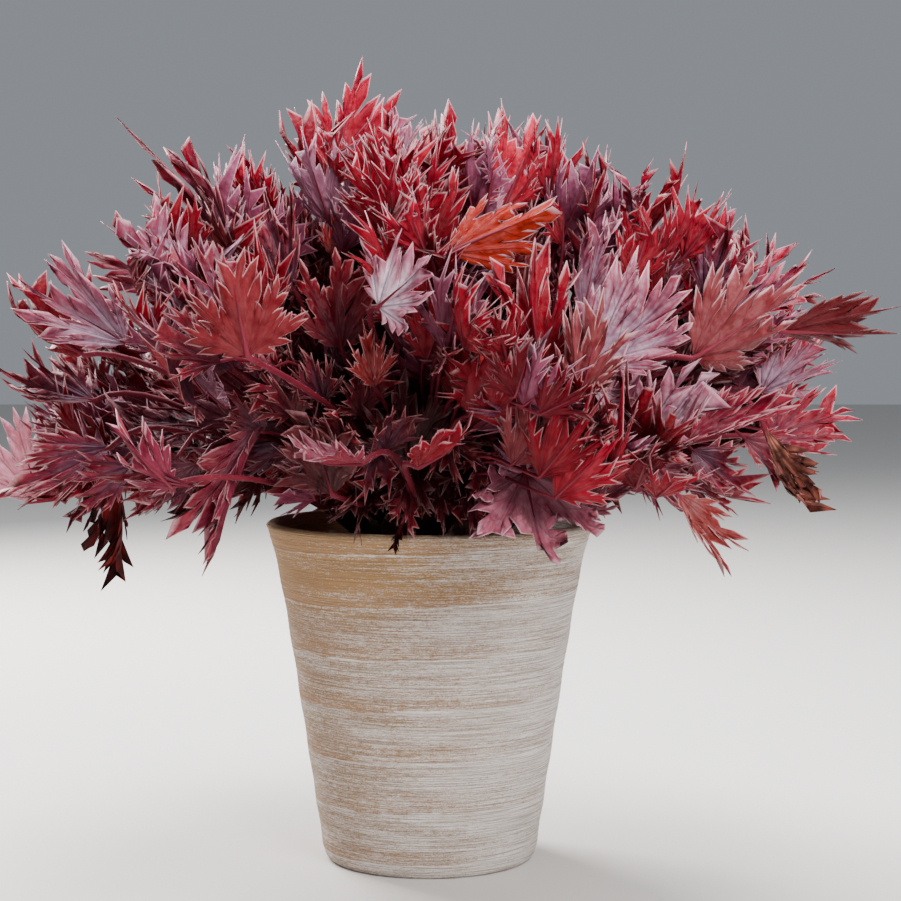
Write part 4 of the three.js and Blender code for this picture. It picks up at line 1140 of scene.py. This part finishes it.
def leaf_skin(name, roughness, ior, bloom, vein_colour, vein_share, translucent):
    """Living leaf skin: the leaf's tint, which carries the mound's painted light and shade, streaked with a
    greyer bloom and blotched with darker sap, with veins read from the leaf's UV map and a pale hairy margin.

    The map's u is the distance from the nearest main vein and its v the way along that vein, both in mm.
    The tint's alpha is how far in from the edge a point lies, as a share of 10 mm.
    """
    material, tree = new_material(name)
    place = add(tree, "TexCoord", {}).outputs["Object"]
    tint = add(tree, "Attribute", {}, attribute_name=TINT)
    inwards = tint.outputs["Alpha"]
    uv = add(tree, "UVMap", {}, uv_map=SURFACE_MAP)
    out, along, _ = add(tree, "SeparateXYZ", (uv,)).outputs
    # Streaks about 1.2 mm wide and 7 mm long run out along the lobes, and differ from leaf to leaf.
    drift = add(tree, "VectorMath", (place, 25.0), operation="SCALE")
    streaky = add(tree, "VectorMath", (uv, (0.8, 0.14, 0.0), drift), operation="MULTIPLY_ADD")
    mottle = add(tree, "TexNoise", {"Vector": streaky, "Scale": 1.0, "Detail": 4.0, "Roughness": 0.65})
    streaks = add(tree, "MapRange", (mottle, 0.35, 0.65, 0.0, 1.0))
    # The bloom lies in these streaks on the middle of the blade, and wears thin in the outer 4 mm.
    inner = add(tree, "MapRange", (inwards, 0.05, 0.4, 0.25, 1.0))
    cover = add(tree, "Math", (streaks, inner), operation="MULTIPLY")
    cover = add(tree, "Math", (cover, bloom), operation="MULTIPLY")
    dust = add(tree, "HueSaturation", {"Color": tint, "Saturation": 0.5, "Value": 1.5})
    skin = add(tree, "Mix", (cover, tint, dust), data_type="RGBA")
    # Blotches about 8 mm across are fuller of red sap, and darker.
    sap = add(tree, "TexNoise", {"Vector": place, "Scale": 120.0, "Detail": 2.0})
    full = add(tree, "MapRange", (sap, 0.48, 0.66, 0.0, 0.6))
    sappy = add(tree, "HueSaturation", {"Color": tint, "Saturation": 1.2, "Value": 0.5})
    skin = add(tree, "Mix", (full, skin, sappy), data_type="RGBA")
    # Main veins about 0.8 mm wide, and thinner side veins every 14 mm that leave them at a slant.
    main = add(tree, "MapRange", (out, 0.2, 0.55, 1.0, 0.0))
    slant = add(tree, "Math", (out, -1.7, along), operation="MULTIPLY_ADD")
    spaced = add(tree, "Math", (slant, 7.0), operation="PINGPONG")
    side = add(tree, "MapRange", (spaced, 0.15, 0.6, 0.55, 0.0))
    veins = add(tree, "Math", (main, side), operation="MAXIMUM")
    share = add(tree, "Math", (veins, vein_share), operation="MULTIPLY")
    skin = add(tree, "Mix", (share, skin, rgba(vein_colour)), data_type="RGBA")
    # The outermost 0.3 mm is fringed with hairs too short to see one by one, and is paler than the leaf.
    fringe = add(tree, "MapRange", (inwards, 0.01, 0.034, 0.5, 0.0))
    paler = add(tree, "HueSaturation", {"Color": tint, "Saturation": 0.5, "Value": 3.4})
    pale = add(tree, "Mix", (1.0, paler, rgba("#e4c0ca")), data_type="RGBA", blend_type="DARKEN")
    skin = add(tree, "Mix", (fringe, skin, pale), data_type="RGBA")
    # Between the veins the skin is puckered into cushions 3 mm across.
    cushions = add(tree, "TexVoronoi", {"Vector": place, "Scale": 330.0})
    height = add(tree, "Math", (cushions, -1.0, veins), operation="MULTIPLY_ADD")
    bump = add(tree, "Bump", {"Height": height, "Strength": 0.6, "Distance": 0.001})
    shine = add(tree, "MapRange", (mottle, 0.3, 0.7, roughness - 0.07, roughness + 0.1))
    surface = add(tree, "BsdfPrincipled", {
        "Base Color": skin, "Roughness": shine, "IOR": ior, "Normal": bump,
        "Sheen Weight": 0.02, "Sheen Roughness": 0.4, "Sheen Tint": rgba("#e6c8d0"),
    })
    # Light that shines through the blade comes out redder.
    through = add(tree, "Mix", (0.5, tint, rgba("#b00826")), data_type="RGBA")
    glow = add(tree, "BsdfTranslucent", {"Color": through})
    both = add(tree, "MixShader", (translucent, surface, glow))
    add(tree, "OutputMaterial", (both,))
    return material


def withered_leaf():
    """Dead leaf, dry and crumpled: the leaf's tint, which carries the mound's painted light and shade, with
    darker and lighter blotches, and matte.
    """
    material, tree = new_material("withered_leaf")
    place = add(tree, "TexCoord", {}).outputs["Object"]
    tint = add(tree, "Attribute", {}, attribute_name=TINT)
    # Blotches about 8 mm across.
    blotch = add(tree, "TexNoise", {"Vector": place, "Scale": 120.0, "Detail": 5.0})
    spread = add(tree, "MapRange", (blotch, 0.35, 0.65, 0.2, 1.4))
    brown = add(tree, "HueSaturation", {"Color": tint, "Value": spread})
    bump = add(tree, "Bump", {"Height": blotch, "Strength": 0.6, "Distance": 0.001})
    skin = add(tree, "BsdfPrincipled", {"Base Color": brown, "Roughness": 0.75, "IOR": 1.2, "Normal": bump})
    add(tree, "OutputMaterial", (skin,))
    return material


def petiole_skin():
    """Fleshy petiole skin: maroon streaked with pink, darkened by painted shade deep in the mound, and half
    glossy.
    """
    material, tree = new_material("petiole_skin")
    place = add(tree, "TexCoord", {}).outputs["Object"]
    light = add(tree, "Attribute", {}, attribute_name=TINT)
    # The streaks are about 17 mm across.
    streak = add(tree, "TexNoise", {"Vector": place, "Scale": 60.0, "Detail": 3.0})
    colour = add(tree, "Mix", (streak, rgba("#440a18"), rgba("#8a3040")), data_type="RGBA")
    shaded = add(tree, "Mix", (1.0, colour, light), data_type="RGBA", blend_type="MULTIPLY")
    skin = add(tree, "BsdfPrincipled", {"Base Color": shaded, "Roughness": 0.55, "IOR": 1.2})
    add(tree, "OutputMaterial", (skin,))
    return material


def hair_skin():
    """Fine pale hairs, darkened by painted shade deep in the mound. They give the margins their frosted look.
    """
    material, tree = new_material("pale_leaf_hair")
    light = add(tree, "Attribute", {}, attribute_name=TINT)
    shaded = add(tree, "Mix", (1.0, rgba("#c49aa0"), light), data_type="RGBA", blend_type="MULTIPLY")
    skin = add(tree, "BsdfPrincipled", {"Base Color": shaded, "Roughness": 0.6, "IOR": 1.3})
    add(tree, "OutputMaterial", (skin,))
    return material


def painted_floor():
    """Matte pale paint, so that the pot's soft shadow shows."""
    material, tree = new_material("pale_studio_floor")
    skin = add(tree, "BsdfPrincipled", {"Base Color": rgba("#cfccc8"), "Roughness": 0.8})
    add(tree, "OutputMaterial", (skin,))
    return material


def crown_bark():
    """The short woody crown, covered with dry brown scales of old petioles, about 3 mm across."""
    material, tree = new_material("crown_bark")
    place = add(tree, "TexCoord", {}).outputs["Object"]
    scales = add(tree, "TexVoronoi", {"Vector": place, "Scale": 300.0})
    colour = add(tree, "Mix", (scales, rgba("#6b4436"), rgba("#2e1a16")), data_type="RGBA")
    bump = add(tree, "Bump", {"Height": scales, "Strength": 0.8, "Distance": 0.002})
    skin = add(tree, "BsdfPrincipled", {"Base Color": colour, "Roughness": 0.85, "Normal": bump})
    add(tree, "OutputMaterial", (skin,))
    return material


def potting_mix():
    """Moist peaty potting mix: nearly black crumbs about 2.5 mm across, with a few lighter fibres."""
    material, tree = new_material("potting_mix")
    place = add(tree, "TexCoord", {}).outputs["Object"]
    crumbs = add(tree, "TexNoise", {"Vector": place, "Scale": 400.0, "Detail": 6.0, "Roughness": 0.7})
    colour = add(tree, "Mix", (crumbs, rgba("#140e0b"), rgba("#5a4334")), data_type="RGBA")
    bump = add(tree, "Bump", {"Height": crumbs, "Strength": 1.0, "Distance": 0.002})
    skin = add(tree, "BsdfPrincipled", {"Base Color": colour, "Roughness": 0.95, "Normal": bump})
    add(tree, "OutputMaterial", (skin,))
    return material


def whitewashed_terracotta():
    """Thrown terracotta under a chalky whitewash that was brushed on round the pot and has partly worn off.

    The map's u is the way round the pot and its v the way up, in mm, so the streaks run round the pot:
    chalk strokes about 4.5 mm long and 0.6 mm high, long chalk lines and dark throwing lines, and grit.
    """
    material, tree = new_material("whitewashed_terracotta")
    uv = add(tree, "UVMap", {}, uv_map=SURFACE_MAP)
    place = add(tree, "TexCoord", {}).outputs["Object"]
    across, _, up = add(tree, "SeparateXYZ", (place,)).outputs

    def streaks(length, height, detail):
        """Noise as long and as high as given in mm, which rises a little round the pot."""
        stretched = add(tree, "Mapping", {"Vector": uv, "Rotation": (0, 0, 0.012),
                                          "Scale": (1 / length, 1 / height, 1.0)})
        return add(tree, "TexNoise", {"Vector": stretched, "Scale": 1.0, "Detail": detail,
                                      "Roughness": 0.65})

    def summed(start, parts):
        """The start and the parts together, each part so many times over."""
        for part, times in parts:
            start = add(tree, "Math", (part, times, start), operation="MULTIPLY_ADD")
        return start

    strokes = streaks(4.5, 0.6, 3.0)
    patches = streaks(45.0, 8.0, 3.0)
    chalk_lines = streaks(90.0, 0.9, 3.0)
    lines = streaks(50.0, 0.6, 2.0)
    bands = streaks(160.0, 3.2, 2.0)
    grit = streaks(1.0, 0.6, 2.0)
    # The throwing left a step every 27 mm, where the wash caught: white just below it, and worn down to
    # the ochre clay just above the next. The steps rise a little to the right.
    level = summed(up, [(across, -0.03), (patches, -0.006)])
    stepped = add(tree, "Math", (level, -1 / THROWN_STEP, TOP_STEP / THROWN_STEP), operation="MULTIPLY_ADD")
    stepped = add(tree, "Math", (stepped,), operation="FRACT")
    ridge = add(tree, "MapRange", (stepped, 0.0, 0.04, 0.2, 0.0))
    worn = add(tree, "MapRange", (stepped, 0.0, 1.0, 0.05, -0.08))
    # The wash is thicker below the highest step and at the foot. The pot is also painted whiter towards the
    # right, a painted light where the lamp falls on that side.
    below = add(tree, "MapRange", (level, 0.128, 0.15, 1.0, 0.0))
    foot = add(tree, "MapRange", (up, 0.0, 0.1, 0.07, 0.0))
    wash_and_painted_light = add(tree, "MapRange", (across, -0.08, 0.08, -0.2, 0.25))
    wash_and_painted_light = summed(wash_and_painted_light, [(below, 0.15), (foot, 1.0), (worn, 1.0), (ridge, 1.0), (patches, 0.6),
                         (strokes, 1.1), (grit, 0.9), (chalk_lines, 0.7)])
    # Over the ochre clay of the top lie the greyer clay of the rest, two browner clays in bands and above the
    # steps, the wash, the dark throwing lines, and a darker grey-brown band over the lip.
    layers = [
        (below, "#94785a"),
        (add(tree, "MapRange", (bands, 0.4, 0.62, 0.0, 0.45)), "#9a7450"),
        (add(tree, "MapRange", (stepped, 0.4, 1.0, 0.0, 0.4)), "#a47a54"),
        (add(tree, "MapRange", (wash_and_painted_light, 1.58, 2.0, 0.0, 0.92)), "#e0dcd8"),
        (add(tree, "MapRange", (lines, 0.4, 0.56, 0.6, 0.0)), "#735438"),
        (add(tree, "MapRange", (up, 0.174, 0.181, 0.0, 0.5)), "#7d715e"),
    ]
    colour = rgba("#9e7a4c")
    for share, over in layers:
        colour = add(tree, "Mix", (share, colour, rgba(over)), data_type="RGBA")
    relief = summed(strokes, [(grit, 0.5), (chalk_lines, 0.8), (lines, 1.0)])
    bump = add(tree, "Bump", {"Height": relief, "Strength": 0.8, "Distance": 0.0009})
    clay = add(tree, "BsdfPrincipled", {"Base Color": colour, "Roughness": 0.9, "Normal": bump})
    add(tree, "OutputMaterial", (clay,))
    return material


def petioles(leaves, rosette, size):
    """Petioles that run on under the blade as its midrib, each thinning towards the leaf's tip."""
    frames = blade_frames(leaves)
    route = petiole_routes(leaves, frames, rosette, size)
    along = np.broadcast_to(RIB_PLACES[:, None], (len(route), len(RIB_PLACES), 1))
    cell = rosette, LEAF_SIZES[size]["gap"]
    rib = blade_surface(leaves, frames, np.stack([along, along * 0], -1), MIDDLE_LOBE, cell)[:, :, 0]
    rib = rib - frames["z"][:, None] * BLADE_HALF_THICKNESS
    whole = np.concatenate([route, rib], axis=1)
    swelling = 1 + SWELLING * np.linspace(1, 0, route.shape[1]) ** SWELLING_POWER
    tapering = np.linspace(RIB_START, RIB_END, len(RIB_PLACES))
    radius = np.concatenate([swelling, tapering]) * PETIOLE_RADIUS * LEAF_SIZES[size]["petiole"]
    radius = np.broadcast_to(radius, whole.shape[:2])
    return tubes(whole, radius, frames["y"], LEAF_SIZES[size]["sides"])


def petiole_hairs(stems, rosette):
    """Hairs that stand out from the petioles at drawn stations and turns."""
    rng = np.random.default_rng(HAIRS["petiole"]["seed"] + rosette)
    _, _, ring, points = stems
    leaves, stations, sides, _ = ring.shape
    count = HAIRS["petiole"]["count"] * leaves
    leaf = rng.integers(0, leaves, count)
    station = rng.integers(FIRST_HAIRY, stations - len(RIB_PLACES) - 1, count)
    side = rng.integers(0, sides, count)
    walls = points[:, 1:-1].reshape(leaves, stations, sides, 3)
    places = mix(walls[leaf, station, side], walls[leaf, station + 1, side], rng.random(count)[:, None])
    return hairs(places, ring[leaf, station, side], "petiole", rng)


def margin_hairs(sheets, rosette):
    """Hairs along the leaves' margins, pointing out of the blade."""
    rng = np.random.default_rng(HAIRS["margin"]["seed"] + rosette)
    edge, outward = sheets["edge"], sheets["outward"]
    count = HAIRS["margin"]["count"] * len(edge)
    leaf = rng.integers(0, edge.shape[0], count)
    column = rng.integers(0, edge.shape[1] - 1, count)
    places = mix(edge[leaf, column], edge[leaf, column + 1], rng.random(count)[:, None])
    return hairs(places, outward[leaf, column], "margin", rng)


def round_the_axis(radius, z, turn):
    """The points at each radius and level, turned round the axis."""
    x, y = radius * np.cos(turn), radius * np.sin(turn)
    return np.stack([x, y, np.broadcast_to(z, x.shape)], axis=-1)


def crown(rosette):
    """A knobbly woody crown: a circle carried up a profile, with bumps round and along it."""
    radius, level = CROWN_PROFILE[:, :1], CROWN_PROFILE[:, 1:]
    turn = np.linspace(0, 2 * np.pi, CROWN_SIDES + 1)[:-1]
    bumps = 1 + BUMP_HEIGHT * np.sin(CROWN_BUMPS * turn[None] + level) * np.sin(level * BUMP_WAVE)
    return revolved(round_the_axis(radius * bumps, level, turn) + crown_centre(rosette))


def revolved(points):
    """The points and wall triangles of closed rings of points, with the first and last as poles."""
    rings, sides, _ = points.shape
    poles = [points[0].mean(axis=0)[None], points[-1].mean(axis=0)[None]]
    whole = np.concatenate([poles[0], points[1:-1].reshape(-1, 3), poles[1]])
    return whole, wrapped(rings - 2, sides)


def stacked(*meshes):
    """Several meshes' points and triangles as one, and which mesh each triangle came from."""
    shift = np.cumsum([0] + [len(points) for points, _ in meshes[:-1]])
    points = np.concatenate([points for points, _ in meshes])
    triangles = np.concatenate([mesh[1] + offset for mesh, offset in zip(meshes, shift)])
    parts = np.repeat(np.arange(len(meshes)), [len(mesh[1]) for mesh in meshes])
    return points, triangles, parts


def make_rosette(rosette, materials):
    """One crown's blades, its petioles with the crown, and the hairs on the large leaves."""
    node = "rosette_centre" if rosette == 0 else f"rosette_{rosette}"
    leaves = leaves_of(rosette)
    sheets = {size: blades(leaves[size], rosette, size) for size in LEAF_SIZES}
    stems = {size: petioles(leaves[size], rosette, size) for size in LEAF_SIZES}

    def together(key):
        return np.concatenate([sheet[key] for sheet in sheets.values()])

    points, triangles, _ = stacked(*[(sheet["points"], sheet["triangles"]) for sheet in sheets.values()])
    skins = [materials[key] for key in ("upper", "under", "withered")]
    blade_piece = make_piece(node + "_blades", points, triangles, skins, together("parts"),
                             together("uv"), together("tint"))

    points, triangles, which = stacked(*[stem[:2] for stem in stems.values()], crown(rosette))
    skins = [materials[key] for key in ("petiole", "crown")]
    petiole_piece = make_piece(node + "_petioles", points, triangles, skins,
                               (which == len(stems)).astype(int), tint=light_tint(points))

    fringe = margin_hairs(sheets["large"], rosette)
    points, triangles, _ = stacked(fringe, petiole_hairs(stems["large"], rosette))
    hair_piece = make_piece(node + "_hairs", points, triangles, [materials["hair"]],
                            tint=light_tint(points), smooth=False)
    for piece in (blade_piece, petiole_piece, hair_piece):
        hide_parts(node)


def outer_radius(z):
    return FOOT_RADIUS + WALL_SLOPE * z + LIP_FLARE * np.clip(z / POT_HEIGHT, 0, 1) ** FLARE_POWER


def pot_profile():
    """The pot's profile, as radius and level, from the middle of the underside up the outside, over the lip,
    down the inside and to the middle of the floor, and where the outside that shows starts and ends."""
    quarter = np.linspace(0, 1, FOOT_POINTS) * np.pi / 2
    half = np.linspace(0, np.pi, LIP_POINTS + 2)[1:-1]
    lip = outer_radius(POT_HEIGHT) - WALL / 2
    underside = np.linspace(MIDDLE, FOOT_RADIUS - UNDERSIDE_SHORT, UNDERSIDE_POINTS)
    up = np.array([OUTSIDE_STARTS[0], *np.linspace(OUTSIDE_STARTS[1], LIP_START, OUTSIDE_POINTS)])
    down = np.linspace(LIP_START, FLOOR + UNDERSIDE_SHORT, INSIDE_POINTS)
    floor = np.linspace(FOOT_RADIUS - WALL - FLOOR_SHORT, MIDDLE, FLOOR_POINTS)
    profile = np.concatenate([
        np.stack([underside, underside * 0], -1),
        [FOOT_RADIUS, 0] + FOOT_ROUNDING * np.stack([np.sin(quarter) - 1, 1 - np.cos(quarter)], -1),
        np.stack([outer_radius(up), up], -1),
        np.stack([lip + WALL / 2 * np.cos(half), POT_HEIGHT - LIP_ROUNDING * (1 - np.sin(half))], -1),
        np.stack([outer_radius(down) - WALL, down], -1),
        np.stack([floor, np.full_like(floor, FLOOR)], -1),
    ])
    first = UNDERSIDE_POINTS + FOOT_POINTS - 1
    return profile, first, first + 1 + len(up) + RINGS_INTO_LIP


def pot_wall():
    """The profile turned round the axis. The thrower's fingers left shallow rings and finer ridges on the
    outside, which waver a little round the pot."""
    profile, first, end = pot_profile()
    row = np.arange(len(profile))[:, None]
    outside = (row >= first) & (row < end)
    turn = np.linspace(0, 2 * np.pi, POT_SIDES + 1)[:-1]
    radius, z = profile[:, :1], profile[:, 1:]
    ring_waver = RING_WAVER * np.sin(turn) + RING_DRIFT * np.sin(z / RING_DRIFT_HEIGHT)
    rings = RING_DEPTH * np.sin(2 * np.pi * z / RING_SPACING + ring_waver)
    ridge_waver = RIDGE_WAVER * np.sin(turn + z / RIDGE_DRIFT_HEIGHT)
    ridges = RIDGE_DEPTH * np.sin(2 * np.pi * z / RIDGE_SPACING + ridge_waver)
    out_of_round = OUT_OF_ROUND * np.sin(2 * turn + WIDEST_TURN) * (z / POT_HEIGHT)
    radius = radius + outside * (rings + ridges) + out_of_round * (radius > TRUE_WITHIN)
    return round_the_axis(radius, z, turn), turn


def make_pot(material):
    points, turn = pot_wall()
    whole, triangles = revolved(points)
    inner = points[1:-1]
    round_way = np.broadcast_to(turn * MAP_RADIUS, inner.shape[:2])
    uv = np.stack([round_way, inner[..., 2]], -1).reshape(-1, 2)
    uv = np.concatenate([[[0, 0]], uv, [[0, FLOOR]]])
    piece = make_piece("pot_shell", whole, triangles, [material], uv=uv)
    mend_seam(piece, MAP_RADIUS * 2 * np.pi)
    drill(piece)
    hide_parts("pot")


def mend_seam(piece, way_round):
    """Carries the map on past the seam, where a face would else run back over the whole way round."""
    layer = piece.data.uv_layers[SURFACE_MAP].data
    uv = np.empty(len(layer) * 2, dtype=np.float32)
    layer.foreach_get("uv", uv)
    corners = uv.reshape(-1, 3, 2)
    far = corners[..., 0].max(axis=1) - corners[..., 0].min(axis=1) > way_round / 2
    low = corners[..., 0] < way_round / 2
    corners[..., 0] += np.where(far[:, None] & low, way_round, 0)
    layer.foreach_set("uv", corners.ravel())


def drill(piece):
    """Cuts the drain holes through the pot's floor."""
    for hole in range(DRAIN_HOLES):
        at = heading(-FRONT_TURN + hole * 360 / DRAIN_HOLES, 0.0) * DRAIN_CIRCLE * MM
        bpy.ops.mesh.primitive_cylinder_add(radius=DRAIN_RADIUS * MM, depth=4 * FLOOR * MM,
                                            vertices=DRILL_SIDES, location=at)
        bit = bpy.context.object
        cut = piece.modifiers.new("drain", "BOOLEAN")
        cut.object = bit
        cut.solver = "EXACT"
        bpy.context.view_layer.objects.active = piece
        bpy.ops.object.modifier_apply(modifier=cut.name)
        bpy.data.objects.remove(bit)


def soil_radius(z):
    return outer_radius(z) - WALL - FIT_GAP - SOIL_CLEAR


def make_soil(material):
    """The soil: a plug whose heaped top is crumbly, from three sizes of waves in two directions."""
    rng = np.random.default_rng(CRUMB_SEED)
    grid = (SOIL_RINGS, SOIL_SIDES)
    share = np.linspace(0, 1, SOIL_RINGS)[::-1, None]
    turn = np.linspace(0, 2 * np.pi, SOIL_SIDES + 1)[:-1]
    radius = np.broadcast_to(share * soil_radius(SOIL_EDGE), grid)
    x, y = radius * np.cos(turn), radius * np.sin(turn)
    crumbs = sum(
        height * np.sin(x * wave + in_x) * np.sin(y * wave * CRUMB_STRETCH + in_y)
        for height, wave, in_x, in_y in CRUMBS
    )
    z = mix(SOIL_MIDDLE, SOIL_EDGE, share**2) + crumbs + CRUMB_SCATTER * rng.standard_normal(grid)
    top = np.stack([x, y, z], -1)
    top[-1] = [0, 0, SOIL_MIDDLE]
    underside = FLOOR + FIT_GAP
    side_z = np.array([underside, *SOIL_LEVELS])
    side_radius = soil_radius(side_z)
    side_radius[0] = FOOT_RADIUS - WALL - SOIL_FOOT_SHORT
    side = round_the_axis(side_radius[:, None], side_z[:, None], turn)
    foot = np.broadcast_to(np.array([0, 0, underside]), (1, SOIL_SIDES, 3))
    points, triangles = revolved(np.concatenate([foot, side, top]))
    piece = make_piece("soil_plug", points, triangles, [material])
    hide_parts("potting_soil")


def make_stage():
    """A plain pale floor, level and wide."""
    floor = bpy.data.meshes.new("floor")
    corners = [(x * FLOOR_REACH, y * FLOOR_REACH, 0) for x, y in ((-1, -1), (1, -1), (1, 1), (-1, 1))]
    floor.from_pydata(corners, [], [(0, 1, 2, 3)])
    floor.materials.append(painted_floor())
    new_object("floor", floor)


def make_camera():
    """The photograph's view: level with the mound, tipped a little down."""
    camera = bpy.data.cameras.new("camera")
    camera.sensor_width = SENSOR_WIDTH
    camera.lens = SENSOR_WIDTH * FOCAL_LENGTH / PHOTO_WIDTH
    holder = new_object("camera", camera)
    holder.location = CAMERA_PLACE
    holder.rotation_euler = (np.radians(90 - TIPPED_DOWN), 0, 0)
    bpy.context.scene.camera = holder


def make_lamp(name, place, size, power, colour):
    light = bpy.data.lights.new(name, "AREA")
    light.size = size
    light.energy = power
    light.color = colour
    holder = new_object(name, light)
    holder.location = place
    aim = np.array(LAMPS_AIM) - np.array(place)
    flat = np.hypot(aim[0], aim[1])
    holder.rotation_euler = (np.arctan2(flat, -aim[2]), 0, np.arctan2(-aim[0], aim[1]))


def make_lights():
    """Soft daylight: a key from the upper right in front, a broad sky above, and a rim from behind on the
    left that lines the leaves, with a pale blue sky all round."""
    world = bpy.data.worlds.new("studio")
    world.use_nodes = True
    background = world.node_tree.nodes["Background"]
    background.inputs["Color"].default_value = SKY_COLOUR
    background.inputs["Strength"].default_value = SKY_STRENGTH
    bpy.context.scene.world = world
    for name, lamp in LAMPS.items():
        make_lamp(name, *lamp)


make_camera()
make_lights()
make_stage()
MATERIALS = {
    # The upper face is half glossy under its silvery bloom, and its veins show dark.
    "upper": leaf_skin("glaucous_leaf_skin", roughness=0.4, ior=1.28, bloom=0.5, vein_colour="#5c0418",
                       vein_share=0.4, translucent=0.22),
    # The underside has little bloom and shine, paler veins, and lets more light through.
    "under": leaf_skin("wine_red_leaf_underside", roughness=0.42, ior=1.16, bloom=0.22,
                       vein_colour="#8a2438", vein_share=0.25, translucent=0.28),
    "withered": withered_leaf(),
    "petiole": petiole_skin(),
    "crown": crown_bark(),
    "hair": hair_skin(),
}
for number in range(OUTER_ROSETTES + 1):
    make_rosette(number, MATERIALS)
make_pot(whitewashed_terracotta())
make_soil(potting_mix())
